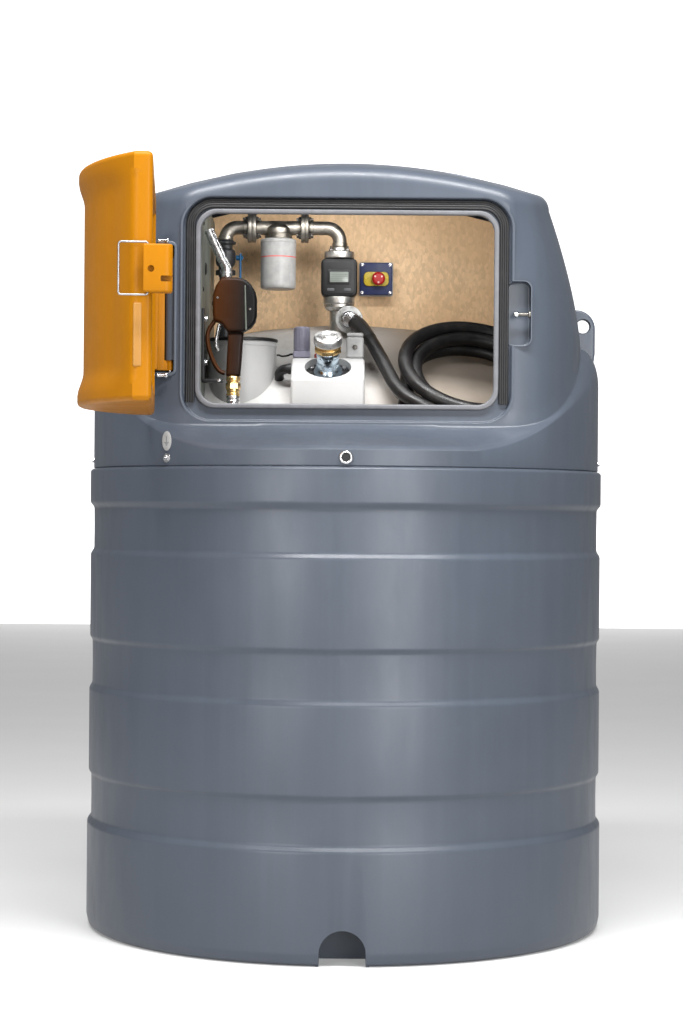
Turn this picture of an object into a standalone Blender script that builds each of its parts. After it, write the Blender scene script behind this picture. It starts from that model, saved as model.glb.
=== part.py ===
"""Bunded diesel tank with a dispensing cabinet: a round ribbed bund, an inner tank and a moulded hood.

Metres, +Z up. The origin is the centre of the flat base, the cabinet faces -Y and +X is the viewer's right.
"""
from math import atan2, cos, degrees, hypot, pi, radians, sin, sqrt

import bmesh
import bpy
from mathutils import Matrix, Vector
from mathutils.geometry import interpolate_bezier

GAP = 0.0003            # clearance between pieces that touch
ROUND_STEPS = 40        # sides of the large turned shells

# Bund: the outer tank, a stack of raised bands and shallow recesses
BUND_R = 0.650
BUND_INNER_R = 0.626
BUND_TOP = 1.1467
FLOOR_THICK = 0.012
NOTCH_W = 0.108
NOTCH_H = 0.085
NOTCH_DEPTH = 0.120
NOTCH_WALL = 0.008
PLINTH_R = (0.44, 0.50)
PLINTH_TOP = 0.100

# Inner tank
INNER_R = 0.600
INNER_WALL = 0.008
INNER_WALL_TOP = 0.940
INNER_CREST = 1.530
INNER_CREST_Y = 0.200
INNER_FALL = 0.44
INNER_REACH = 0.62
INNER_EDGE_R = 0.48

# Hood and cabin
SKIRT_R = 0.639
SKIRT_BOTTOM = 1.147
HOOD_WALL = 0.009
HOOD_STEPS = 48
FACE_Y = -0.440
CABIN_BASE_Z = 1.450
CABIN_BASE_HALF = 0.587
CABIN_LEAN = 0.104
CABIN_RISE = 0.388
ROOF_TOP = 1.915
ROOF_BEND_X = 2.9
ROOF_BEND_Y = 3.2
SKIRT_TOP_Z = (1.185, 1.362)    # under the face, and at the sides and back
SKIRT_RISE_DEG = (27, 64)       # from the front, where the skirt's top climbs
CABIN_FOOT_Z = (1.250, 1.456)
CABIN_FOOT_DEG = (42, 66)
ROOF_EDGE = 0.045
ROOF_ROUND = ((0.990, 0.022), (0.965, 0.006), (0.92, 0.0), (0.7, 0.0), (0.45, 0.0), (0.2, 0.0))
LUG_R = 0.632
LUG_TOP = 1.561
LUG_ROUND = 0.048
LUG_THICK = 0.026
LUG_Y = 0.004
LUG_HOLE = (0.601, 1.519)
LUG_HOLE_R = 0.017

# Opening in the cabin's face, with the recess that the door closes into
OPENING_HALF = 0.358
OPENING_Z = (1.288, 1.765)
RECESS_HALF = 0.391
RECESS_Z = (1.256, 1.800)
RECESS_DEPTH = 0.016
FRAME_DEPTH = 0.040
POCKET_X = (0.379, 0.436)
POCKET_Z = (1.440, 1.592)
POCKET_DEPTH = 0.037
POCKET_WALL = 0.008
FRAME_WALL = 0.007
SEAL_WIDTH = 0.013
SEAL_HALF = 0.376
SEAL_FOOT = 1.300
SEAL_TOP = 1.790
STUD_Z = 1.514
SEAM_Z = 1.169

# Door, drawn closed about its hinge axis and then swung open
HINGE_X = -0.421
HINGE_Y = -0.4165
DOOR_OPEN = radians(-86)
DOOR_X = (0.039, 0.803)
DOOR_Z = (1.267, 1.780)
DOOR_BACK = -0.035
DOOR_EDGE = 0.039
DOOR_CROWN_R = 0.638
DOOR_LIP = 0.013
DOOR_LIP_H = 0.075
KNUCKLE_R = 0.0125
KNUCKLE_Z = (1.375, 1.667)
LEAF_HALF = 0.006
LEAF_Y = (-0.040, -0.0285)
EAR_X = 0.843
EAR_Z = (1.479, 1.582)
EAR_FRONT = -0.0525
EAR_BACK = 0.0066
EAR_STEP = (0.806, -0.0350)     # where the ear's thick part begins, and the thin part's back
SLOT_HALF = 0.010
KEYHOLE = (-0.0374, 1.5340)
SLOT_FRONT = -0.0215
BAIL_X = 0.825
BAIL_Y = -0.0436
BAIL_REACH = 0.060
BAIL_WIRE = 0.0025
BRACKET_GAP = 0.005
BRACKET_H = 0.016
PIN_R = 0.0042

# Bay in the cabin's face that the hinge sits in
BAY_X = (-0.470, -0.4025)
BAY_Z = (1.335, 1.707)
BAY_BACK = -0.396
BAY_WALL = (0.015, 0.0075, 0.010)
BAY_BLOCK_BACK = -0.345

# Pipework in the cabinet
PIPE_R = 0.018
PIPE_Z = 1.765
PIPE_LEFT_X = -0.311
PIPE_RIGHT_X = -0.020
ELBOW_R = 0.030
FLANGE_R = 0.038
FILTER_X = -0.1767
FILTER_Z = (1.608, 1.736)
METER_X = -0.021
METER_HALF = 0.046
METER_Z = (1.5890, 1.6867)
LEVER_X = -0.273
LEVER_Z = 1.688
OUTLET_X = 0.002
OUTLET_Z = 1.529
BOARD_Y = (0.194, 0.206)
BOARD_HALF = 0.43
PANEL_X = (-0.356, -0.350)
SWITCH_SPOT = Vector((0.0807, 0, 1.6495))
SWITCH_BORE_R = 0.0087

# Delivery hose
HOSE_R = 0.017
COIL_CENTRE = Vector((0.312, -0.222, 1.372))
COIL_R = 0.172
COIL_BUNDLE = 0.033
COIL_ACROSS = Vector((0.984, 0.0, -0.180)).normalized()
COIL_BACK = Vector((0.110, 0.785, 0.600)).normalized()

# Filler
FILLER_TILT = radians(31)
FILLER_AXIS = Vector((0, -sin(FILLER_TILT), cos(FILLER_TILT)))
FILLER_FOOT = Vector((-0.046, -0.258, 1.396))
BLOCK_X = (-0.136, 0.044)
BLOCK_Y = (-0.310, -0.170)
BLOCK_TOP = 1.421
BLOCK_STEP_Y = -0.215
WELL_R = 0.057
WELL_DEPTH = 0.020
NECK_X = -0.259
NECK_Y = -0.165
NECK_R = 0.085
NECK_TOP = 1.462

# Nozzle, hanging in its holder on the side panel
NOZZLE_Y = -0.340
SWIVEL_X = -0.2735
SPOUT_R = 0.0105


def clear_scene():
    """Removes what a new file holds."""
    for old in list(bpy.data.objects):
        bpy.data.objects.remove(old, do_unlink=True)


clear_scene()
PARTS = bpy.data.collections.new("diesel_tank")
CUTTERS = bpy.data.collections.new("cutters")
bpy.context.scene.collection.children.link(PARTS)
bpy.context.scene.collection.children.link(CUTTERS)


def material(name, colour, roughness, metallic=0.0):
    """A Principled material."""
    made = bpy.data.materials.new(name)
    made.use_nodes = True
    shader = made.node_tree.nodes["Principled BSDF"]
    shader.inputs["Base Color"].default_value = (*colour, 1.0)
    shader.inputs["Roughness"].default_value = roughness
    shader.inputs["Metallic"].default_value = metallic
    return made


SLATE = material("slate_polyethylene", (0.17, 0.20, 0.25), 0.5)
NATURAL = material("natural_polyethylene", (0.80, 0.80, 0.78), 0.45)
ORANGE = material("orange_polyethylene", (0.85, 0.36, 0.01), 0.4)
RUBBER = material("black_rubber", (0.02, 0.02, 0.02), 0.7)
BLACK = material("black_plastic", (0.015, 0.015, 0.017), 0.4)
STEEL = material("grey_pipe", (0.22, 0.21, 0.19), 0.45, 0.6)
CHROME = material("bright_steel", (0.70, 0.70, 0.70), 0.2, 1.0)
ALUMINIUM = material("aluminium", (0.62, 0.62, 0.62), 0.35, 1.0)
BRASS = material("brass", (0.66, 0.42, 0.14), 0.3, 1.0)
WHITE = material("white_paint", (0.82, 0.82, 0.82), 0.35)
BLUE = material("blue_plastic", (0.02, 0.06, 0.25), 0.4)
YELLOW = material("yellow_plastic", (0.90, 0.70, 0.05), 0.4)
RED = material("red_plastic", (0.70, 0.03, 0.03), 0.35)
TAN = material("tan_board", (0.60, 0.42, 0.24), 0.7)
PANEL = material("grey_green_panel", (0.38, 0.42, 0.38), 0.6)
LILAC = material("lilac_plastic", (0.55, 0.55, 0.66), 0.35)


def keep(name, thing, paint, smooth=True, collection=None):
    """Names an object, gives it its material and puts it in its collection."""
    thing.name = name
    thing.data.name = name
    for old in list(thing.users_collection):
        old.objects.unlink(thing)
    (collection or PARTS).objects.link(thing)
    thing.data.materials.clear()
    if paint:
        thing.data.materials.append(paint)
    if smooth and thing.type == "MESH":
        thing.data.shade_smooth()
        thing.data.set_sharp_from_angle(angle=radians(35))
    return thing


def cutter(name, thing):
    """Marks an object as a cutter or a guide."""
    keep(name, thing, None, False, CUTTERS)
    thing.hide_render = True
    thing.display_type = "WIRE"
    return thing


def new_mesh(name, shape):
    """An object from a bmesh."""
    mesh = bpy.data.meshes.new(name)
    shape.to_mesh(mesh)
    shape.free()
    return bpy.data.objects.new(name, mesh)


def aim(thing, axis, at):
    """Turns an object's Z to an axis and moves its origin to a point."""
    turn = Vector(axis).to_track_quat("Z", "Y")
    thing.rotation_mode = "QUATERNION"
    thing.rotation_quaternion = turn
    thing.location = at
    return thing


def turned(name, profile, paint, steps=24, closed=False, axis=(0, 0, 1), at=(0, 0, 0)):
    """A turned shape: the profile's points are (radius, height), its outer side running down."""
    mesh = bpy.data.meshes.new(name)
    count = len(profile)
    edges = [(i, i + 1) for i in range(count - 1)]
    if closed:
        edges.append((count - 1, 0))
    mesh.from_pydata([(r, 0, z) for r, z in profile], edges, [])
    thing = bpy.data.objects.new(name, mesh)
    screw = thing.modifiers.new("turn", "SCREW")
    screw.angle = 2 * pi
    screw.steps = steps
    screw.render_steps = steps
    screw.use_merge_vertices = True
    screw.merge_threshold = 0.00005
    screw.use_smooth_shade = True
    keep(name, thing, paint, False)
    return aim(thing, axis, at)


def rod(name, start, end, radius, paint, steps=16, chamfer=0.0):
    """A round bar between two points, with an optional chamfer at both ends."""
    start = Vector(start)
    end = Vector(end)
    length = (end - start).length
    profile = [(0, length), (radius - chamfer, length), (radius, length - chamfer)]
    profile += [(radius, chamfer), (radius - chamfer, 0), (0, 0)]
    if not chamfer:
        profile = [(0, length), (radius, length), (radius, 0), (0, 0)]
    return turned(name, profile, paint, steps, axis=end - start, at=start)


def box(name, low, high, paint, bevel=0.0, segments=2):
    """A box between two corners, with bevelled edges."""
    bpy.ops.mesh.primitive_cube_add(size=1)
    thing = bpy.context.object
    size = Vector(high) - Vector(low)
    thing.data.transform(Matrix.Diagonal((*size, 1)))
    thing.location = (Vector(high) + Vector(low)) / 2
    if bevel:
        edge = thing.modifiers.new("edges", "BEVEL")
        edge.width = bevel
        edge.segments = segments
    return keep(name, thing, paint)


def tube(name, points, radius, paint, resolution=2):
    """A bent tube or wire along a list of points."""
    curve = bpy.data.curves.new(name, "CURVE")
    curve.dimensions = "3D"
    curve.bevel_depth = radius
    curve.bevel_resolution = resolution
    curve.use_fill_caps = True
    line = curve.splines.new("POLY")
    line.points.add(len(points) - 1)
    for spot, point in zip(line.points, points):
        spot.co = (*point, 1)
    return keep(name, bpy.data.objects.new(name, curve), paint)


def solid_mesh(thing):
    """Turns a curve object into a welded mesh object, so that it can be cut or joined."""
    if not thing.users_collection:
        bpy.context.scene.collection.objects.link(thing)
    bpy.context.view_layer.update()
    graph = bpy.context.evaluated_depsgraph_get()
    mesh = bpy.data.meshes.new_from_object(thing.evaluated_get(graph))
    shape = bmesh.new()
    shape.from_mesh(mesh)
    bmesh.ops.remove_doubles(shape, verts=shape.verts, dist=0.00001)
    shape.to_mesh(mesh)
    shape.free()
    made = bpy.data.objects.new(thing.name, mesh)
    made.matrix_world = thing.matrix_world
    bpy.data.objects.remove(thing, do_unlink=True)
    return made


def outline(name, points, thickness, at, axis="Y"):
    """A flat outline given thickness, as a mesh: drawn in XZ for axis Y, in XY for Z and in YZ for X."""
    curve = bpy.data.curves.new(name, "CURVE")
    curve.dimensions = "2D"
    curve.fill_mode = "BOTH"
    curve.extrude = thickness / 2
    line = curve.splines.new("POLY")
    line.points.add(len(points) - 1)
    for spot, point in zip(line.points, points):
        spot.co = (point[0], point[1], 0, 1)
    line.use_cyclic_u = True
    thing = bpy.data.objects.new(name, curve)
    turns = {"Y": (pi / 2, 0, 0), "Z": (0, 0, 0), "X": (pi / 2, 0, pi / 2)}
    thing.rotation_euler = turns[axis]
    thing.location = at
    return solid_mesh(thing)


def rounded_rectangle(x0, x1, z0, z1, radius, steps=5):
    """The points of a rectangle with round corners."""
    points = []
    corners = ((x1 - radius, z1 - radius, 0), (x0 + radius, z1 - radius, 90),
               (x0 + radius, z0 + radius, 180), (x1 - radius, z0 + radius, 270))
    for cx, cz, start in corners:
        for i in range(steps + 1):
            angle = radians(start + 90 * i / steps)
            points.append((cx + radius * cos(angle), cz + radius * sin(angle)))
    return points


def combine(thing, other, operation):
    """Adds a Boolean of another object, which becomes a cutter."""
    cutter(f"{thing.name}_{operation.lower()}_{len(thing.modifiers)}", other)
    step = thing.modifiers.new(operation.lower(), "BOOLEAN")
    step.operation = operation
    step.solver = "EXACT"
    step.object = other
    return thing


def smooth_step(value, low, high):
    """Goes smoothly from 0 to 1 between two values."""
    u = min(max((value - low) / (high - low), 0.0), 1.0)
    return u * u * (3 - 2 * u)


def between(pair, part):
    """The value that lies a part of the way between two."""
    return pair[0] + (pair[1] - pair[0]) * part


def bund_profile():
    """The bund's outside, top to bottom, then its straight inside."""
    outer = [(0.642, BUND_TOP), (0.647, BUND_TOP - 0.006), (0.647, 1.060), (0.637, 1.050),
             (0.637, 0.946), (0.645, 0.934), (0.645, 0.7255), (0.6395, 0.7195),
             (0.6395, 0.608), (0.646, 0.596), (0.646, 0.389), (0.6405, 0.383),
             (0.6405, 0.275), (BUND_R, 0.262), (BUND_R, 0.020), (0.644, 0.006), (0.632, 0.0)]
    return outer + [(BUND_INNER_R, 0.0), (BUND_INNER_R, BUND_TOP)]


def notch_outline(grow):
    """The arch of the notch in the bund's foot."""
    half = NOTCH_W / 2 + grow
    spring = NOTCH_H - NOTCH_W / 2
    foot = 0.0 if grow else -0.01
    points = [(-half, foot), (half, foot)]
    for i in range(9):
        angle = pi * i / 8
        points.append((half * cos(angle), spring + half * sin(angle)))
    return points


def make_bund():
    """The ribbed outer tank with its notch, and its floor with the raised ring under the inner tank."""
    wall = turned("bund_wall", bund_profile(), SLATE, ROUND_STEPS, closed=True)
    inner_y = NOTCH_DEPTH - BUND_R
    sleeve_back = inner_y + NOTCH_WALL
    sleeve_front = -BUND_INNER_R - 0.006
    middle = (sleeve_front + sleeve_back) / 2
    sleeve = outline("sleeve", notch_outline(NOTCH_WALL), sleeve_back - sleeve_front, (0, middle, 0))
    combine(wall, sleeve, "UNION")
    front = -BUND_R - 0.02
    notch = outline("notch", notch_outline(0), inner_y - front, (0, (inner_y + front) / 2, 0))
    combine(wall, notch, "DIFFERENCE")
    low, high = PLINTH_R
    rim = BUND_INNER_R * cos(pi / ROUND_STEPS) - GAP
    profile = [(0, FLOOR_THICK), (low, FLOOR_THICK), (low, PLINTH_TOP), (high, PLINTH_TOP),
               (high, FLOOR_THICK), (rim, FLOOR_THICK), (rim, 0), (0, 0)]
    floor = turned("bund_floor", profile, SLATE, ROUND_STEPS)
    reach = sleeve_back + GAP
    start = -BUND_R
    room = outline("sleeve_room", notch_outline(NOTCH_WALL + 2 * GAP), reach - start,
                   (0, (reach + start) / 2, -0.002))
    combine(floor, room, "DIFFERENCE")


def inner_top(x, y):
    """Height of the inner tank's top: it climbs from the front to a crest behind the board."""
    across = hypot(x, y)
    if across > INNER_EDGE_R:
        shrink = INNER_EDGE_R / across
        crown = inner_top(x * shrink * 0.9999, y * shrink * 0.9999)
        u = min((across - INNER_EDGE_R) / (INNER_R - INNER_EDGE_R), 1.0)
        return INNER_WALL_TOP + (crown - INNER_WALL_TOP) * sqrt(max(1 - u * u, 0))
    if y < INNER_CREST_Y:
        fall = INNER_FALL * ((INNER_CREST_Y - y) / INNER_REACH) ** 2.4
    else:
        fall = INNER_FALL * ((y - INNER_CREST_Y) / INNER_REACH) ** 2
    return INNER_CREST - fall - x * x / 3.2


def inner_top_surface(name, lift):
    """The inner tank's top as an open surface on rings about the axis."""
    shape = bmesh.new()
    rings = [0.0, 0.12, 0.24, 0.34, 0.42, INNER_EDGE_R, 0.53, 0.57, 0.592, INNER_R]
    spokes = [shape.verts.new((r, 0, 0)) for r in rings]
    edges = [shape.edges.new(pair) for pair in zip(spokes, spokes[1:])]
    bmesh.ops.spin(shape, geom=spokes + edges, cent=(0, 0, 0), axis=(0, 0, 1), angle=2 * pi,
                   steps=ROUND_STEPS, use_merge=True)
    bmesh.ops.remove_doubles(shape, verts=shape.verts, dist=0.00001)
    for vert in shape.verts:
        vert.co.z = inner_top(vert.co.x, vert.co.y) + lift
    bmesh.ops.triangulate(shape, faces=shape.faces)
    bmesh.ops.recalc_face_normals(shape, faces=shape.faces)
    if sum(face.normal.z for face in shape.faces) < 0:
        bmesh.ops.reverse_faces(shape, faces=shape.faces)
    return new_mesh(name, shape)


def make_inner_tank():
    """The inner tank: floor, wall and top."""
    bottom = PLINTH_TOP + GAP
    rim = INNER_R - INNER_WALL
    edge = rim - GAP
    plate = [(0, bottom + 0.008), (edge, bottom + 0.008), (edge, bottom), (0, bottom)]
    turned("inner_tank_floor", plate, NATURAL, ROUND_STEPS)
    wall = [(rim, INNER_WALL_TOP - GAP), (INNER_R, INNER_WALL_TOP - GAP), (INNER_R, bottom), (rim, bottom)]
    turned("inner_tank_wall", wall, NATURAL, ROUND_STEPS, closed=True)
    thing = inner_top_surface("inner_tank_top", 0)
    shape = bmesh.new()
    shape.from_mesh(thing.data)
    made = bmesh.ops.extrude_face_region(shape, geom=shape.faces[:])
    for vert in made["geom"]:
        if isinstance(vert, bmesh.types.BMVert):
            vert.co.x *= rim / INNER_R
            vert.co.y *= rim / INNER_R
            vert.co.z = max(vert.co.z - INNER_WALL, INNER_WALL_TOP)
    bmesh.ops.recalc_face_normals(shape, faces=shape.faces)
    shape.to_mesh(thing.data)
    shape.free()
    keep("inner_tank_top", thing, NATURAL)


def ground_cutter():
    """The body under the inner tank's top, a little proud of it, for the feet of what stands on it."""
    thing = inner_top_surface("under_tank_top", GAP)
    shape = bmesh.new()
    shape.from_mesh(thing.data)
    made = bmesh.ops.extrude_face_region(shape, geom=shape.faces[:])
    below = [v for v in made["geom"] if isinstance(v, bmesh.types.BMVert)]
    for vert in below:
        vert.co.z = INNER_WALL_TOP - 0.05
    bmesh.ops.recalc_face_normals(shape, faces=shape.faces)
    shape.to_mesh(thing.data)
    shape.free()
    return thing


def stand_on_tank(thing):
    """Cuts an object's foot to the inner tank's top."""
    return combine(thing, ground_cutter(), "DIFFERENCE")


def roof(x, y):
    """Height of the hood's roof."""
    return ROOF_TOP - x * x / ROOF_BEND_X - y * y / ROOF_BEND_Y


def cabin_radius(angle, z):
    """Distance from the axis to the cabin's side, at an angle from +X and a height."""
    u = min(max((z - CABIN_BASE_Z) / CABIN_RISE, 0.0), 1.0)
    half = CABIN_BASE_HALF - CABIN_LEAN * u ** 1.4
    across = abs(cos(angle))
    along = abs(sin(angle))
    if sin(angle) < 0:
        reach = ((across / half) ** 3.5 + (along / 0.52) ** 3.5) ** (-1 / 3.5)
        reach = min(reach, -FACE_Y / max(along, 0.001))
    else:
        reach = ((across / half) ** 2.3 + (along / half) ** 2.3) ** (-1 / 2.3)
    return min(reach, SKIRT_R - 0.007)


def hood_rings():
    """The hood's outside as rings of points, from the skirt's foot to the middle of the roof."""
    rings = [[] for _ in range(15)]
    for i in range(HOOD_STEPS):
        angle = 2 * pi * i / HOOD_STEPS
        from_front = degrees(atan2(abs(cos(angle)), -sin(angle)))
        skirt_top = between(SKIRT_TOP_Z, smooth_step(from_front, *SKIRT_RISE_DEG))
        base_z = between(CABIN_FOOT_Z, smooth_step(from_front, *CABIN_FOOT_DEG))
        way = Vector((cos(angle), sin(angle), 0))
        rings[0].append(way * SKIRT_R + Vector((0, 0, SKIRT_BOTTOM)))
        base_r = cabin_radius(angle, base_z)
        for k, bend in enumerate((0, 30, 60, 90)):
            a = radians(bend)
            r = SKIRT_R - (SKIRT_R - base_r) * (1 - cos(a))
            rings[1 + k].append(way * r + Vector((0, 0, skirt_top + (base_z - skirt_top) * sin(a))))
        for k, part in enumerate((0.25, 0.5, 0.75, 1.0)):
            z = base_z
            for _ in range(4):
                edge = way * cabin_radius(angle, z)
                z = base_z + (roof(edge.x, edge.y) - ROOF_EDGE - base_z) * part
            rings[5 + k].append(Vector((edge.x, edge.y, z)))
        rim = rings[8][-1]
        for k, (scale, drop) in enumerate(ROOF_ROUND):
            x = rim.x * scale
            y = rim.y * scale
            rings[9 + k].append(Vector((x, y, roof(x, y) - drop)))
    return rings


def hood_shell():
    """The hood's skin, lofted between round and square sections."""
    shape = bmesh.new()
    loops = [[shape.verts.new(p) for p in ring] for ring in hood_rings()]
    for low, high in zip(loops, loops[1:]):
        for i in range(HOOD_STEPS):
            j = (i + 1) % HOOD_STEPS
            shape.faces.new((low[i], low[j], high[j], high[i]))
    top = shape.verts.new((0, 0, ROOF_TOP))
    last = loops[-1]
    for i in range(HOOD_STEPS):
        shape.faces.new((last[i], last[(i + 1) % HOOD_STEPS], top))
    return new_mesh("hood", shape)


def lug_outline(side):
    """The lifting lug's outline, on the right for side 1 and on the left for side -1."""
    points = [(0.575, 1.40), (LUG_R - 0.006, 1.40), (LUG_R, 1.45)]
    for i in range(6):
        angle = radians(90 * i / 5)
        out = LUG_R - LUG_ROUND + LUG_ROUND * cos(angle)
        points.append((out, LUG_TOP - LUG_ROUND + LUG_ROUND * sin(angle)))
    points.append((0.566, LUG_TOP))
    flipped = [(side * x, z) for x, z in points]
    return flipped if side > 0 else flipped[::-1]


def make_hood():
    """The hood with its lifting lugs, hinge brackets, door recess and opening."""
    hood = keep("hood", hood_shell(), SLATE)
    skin = hood.modifiers.new("wall", "SOLIDIFY")
    skin.thickness = HOOD_WALL
    skin.offset = -1
    inner_y = FACE_Y + FRAME_DEPTH
    block = rounded_rectangle(-RECESS_HALF - FRAME_WALL, RECESS_HALF + FRAME_WALL,
                              RECESS_Z[0] - 0.008, RECESS_Z[1] + 0.006, 0.07)
    front = FACE_Y + 0.003
    combine(hood, outline("frame", block, inner_y - front, (0, (inner_y + front) / 2, 0)), "UNION")
    ear = rounded_rectangle(POCKET_X[0] - 0.02, POCKET_X[1] + 0.008,
                            POCKET_Z[0] - 0.008, POCKET_Z[1] + 0.008, 0.02, 3)
    ear_front = FACE_Y + 0.008
    ear_back = FACE_Y + POCKET_DEPTH + POCKET_WALL
    middle = (ear_back + ear_front) / 2
    combine(hood, outline("ear_frame", ear, ear_back - ear_front, (0, middle, 0)), "UNION")
    for side in (-1, 1):
        combine(hood, outline("lug", lug_outline(side), LUG_THICK, (0, LUG_Y, 0)), "UNION")
        spot = Vector((side * LUG_HOLE[0], 0, LUG_HOLE[1]))
        through = Vector((0, 0.05, 0))
        hole = rod("lug_hole", spot - through, spot + through, LUG_HOLE_R, None, 14)
        combine(hood, hole, "DIFFERENCE")
    left, right, ends = BAY_WALL
    bay = rounded_rectangle(BAY_X[0] - left, BAY_X[1] + right, BAY_Z[0] - ends, BAY_Z[1] + ends, 0.018, 3)
    middle = (front + BAY_BLOCK_BACK) / 2
    combine(hood, outline("bay_frame", bay, BAY_BLOCK_BACK - front, (0, middle, 0)), "UNION")
    bay = rounded_rectangle(*BAY_X, *BAY_Z, 0.006, 2)
    outside = FACE_Y - 0.02
    combine(hood, outline("bay", bay, BAY_BACK - outside, (0, (BAY_BACK + outside) / 2, 0)), "DIFFERENCE")
    far = BRACKET_GAP + BRACKET_H
    for low, high, end in ((KNUCKLE_Z[1] + BRACKET_GAP, KNUCKLE_Z[1] + far, KNUCKLE_Z[1] - 0.010),
                           (KNUCKLE_Z[0] - far, KNUCKLE_Z[0] - BRACKET_GAP, KNUCKLE_Z[0] + 0.010)):
        lug = box("hinge_lug", (HINGE_X - 0.014, HINGE_Y - 0.013, low),
                  (BAY_X[1] + 0.003, BAY_BACK + 0.005, high), None)
        combine(hood, lug, "UNION")
        start = Vector((HINGE_X, HINGE_Y, (low + high) / 2))
        pin = rod("hinge_pin", start, (HINGE_X, HINGE_Y, end), PIN_R, None, 12)
        combine(hood, pin, "UNION")
    recess = rounded_rectangle(-RECESS_HALF, RECESS_HALF, *RECESS_Z, 0.065, 6)
    floor_y = FACE_Y + RECESS_DEPTH
    combine(hood, outline("recess", recess, floor_y - outside, (0, (floor_y + outside) / 2, 0)), "DIFFERENCE")
    pocket = rounded_rectangle(POCKET_X[0] - 0.02, POCKET_X[1], *POCKET_Z, 0.018, 3)
    pocket = [(max(x, POCKET_X[0]), z) for x, z in pocket]
    floor_y = FACE_Y + POCKET_DEPTH
    combine(hood, outline("pocket", pocket, floor_y - outside, (0, (floor_y + outside) / 2, 0)), "DIFFERENCE")
    hole = rounded_rectangle(-OPENING_HALF, OPENING_HALF, *OPENING_Z, 0.045)
    combine(hood, outline("opening", hole, 0.2, (0, FACE_Y + 0.02, 0)), "DIFFERENCE")


def make_hood_fittings():
    """Seal, lock stud, hinge bolts, seam bolts, earth bolt and plate, and the plug in the front."""
    inside = SEAL_HALF - SEAL_WIDTH
    outer = rounded_rectangle(-SEAL_HALF, SEAL_HALF, SEAL_FOOT, SEAL_TOP, 0.055)
    inner = rounded_rectangle(-inside, inside, SEAL_FOOT, 1.771, 0.042)
    half = len(outer) // 2
    points = [(SEAL_HALF, SEAL_FOOT)] + outer[:half] + [(-SEAL_HALF, SEAL_FOOT), (-inside, SEAL_FOOT)]
    points += inner[:half][::-1] + [(inside, SEAL_FOOT)]
    back = FACE_Y + RECESS_DEPTH - GAP
    keep("door_seal", outline("door_seal", points, 0.008, (0, back - 0.004, 0)), RUBBER, False)
    stud_y = FACE_Y + 0.012
    profile = [(0, 0.046), (0.006, 0.046), (0.008, 0.044), (0.008, 0.040), (0.005, 0.038),
               (0.005, 0), (0, 0)]
    turned("lock_stud", profile, CHROME, 14, axis=(-1, 0, 0), at=(POCKET_X[1] - GAP, stud_y, STUD_Z))
    dome = [(0, 0.009), (0.005, 0.008), (0.009, 0.004), (0.0105, 0), (0, 0)]
    far = BRACKET_GAP + BRACKET_H + GAP
    top = KNUCKLE_Z[1] + far
    turned("hinge_bolt_top", dome, CHROME, 14, at=(HINGE_X, HINGE_Y, top))
    bottom = KNUCKLE_Z[0] - far
    turned("hinge_bolt_bottom", dome, CHROME, 14, axis=(0, 0, -1), at=(HINGE_X, HINGE_Y, bottom))
    bolt = [(0, 0.012), (0.006, 0.012), (0.0065, 0.006), (0.011, 0.005), (0.011, 0), (0, 0)]
    for name, side in (("seam_bolt_left", -1), ("seam_bolt_right", 1)):
        turned(name, bolt, CHROME, 14, axis=(side, 0, 0), at=(side * (SKIRT_R + GAP), 0, SEAM_Z))
    away = radians(41.25)
    flat = SKIRT_R * cos(pi / HOOD_STEPS) + GAP
    out = Vector((-sin(away), -cos(away), 0))
    turned("earth_bolt", bolt, CHROME, 14, axis=out, at=out * flat + Vector((0, 0, 1.166)))
    oval = [(0.015 * cos(2 * pi * i / 16), 0.023 * sin(2 * pi * i / 16)) for i in range(16)]
    plate = outline("earth_plate", oval, 0.0016, (0, 0, 0))
    turn = Matrix.Rotation(-away, 4, "Z")
    spot = out * (flat + 0.0008) + Vector((0, 0, 1.206))
    plate.matrix_world = Matrix.Translation(spot) @ turn @ plate.matrix_world
    keep("earth_plate", plate, WHITE, False)
    plug = [(0, 0.004), (0.008, 0.004), (0.009, 0.008), (0.013, 0.008), (0.016, 0.005), (0.016, 0), (0, 0)]
    turned("front_plug", plug, CHROME, 20, axis=(0, -1, 0), at=(0, -SKIRT_R - GAP, 1.167))


def door_skin(x, z):
    """How far out the closed door's outer face lies at a point, from the hinge axis."""
    middle = (DOOR_X[0] + DOOR_X[1]) / 2
    half = (DOOR_X[1] - DOOR_X[0]) / 2
    arch = sqrt(DOOR_CROWN_R ** 2 - (x - middle) ** 2) - sqrt(DOOR_CROWN_R ** 2 - half ** 2)
    from_end = min(z - DOOR_Z[0], DOOR_Z[1] - z)
    from_side = min(x - DOOR_X[0], DOOR_X[1] - x)
    sink = smooth_step(from_end, 0.3 * DOOR_LIP_H, DOOR_LIP_H) * smooth_step(from_side, 0.0, 0.10)
    return DOOR_BACK - DOOR_EDGE - arch + DOOR_LIP * sink


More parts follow.
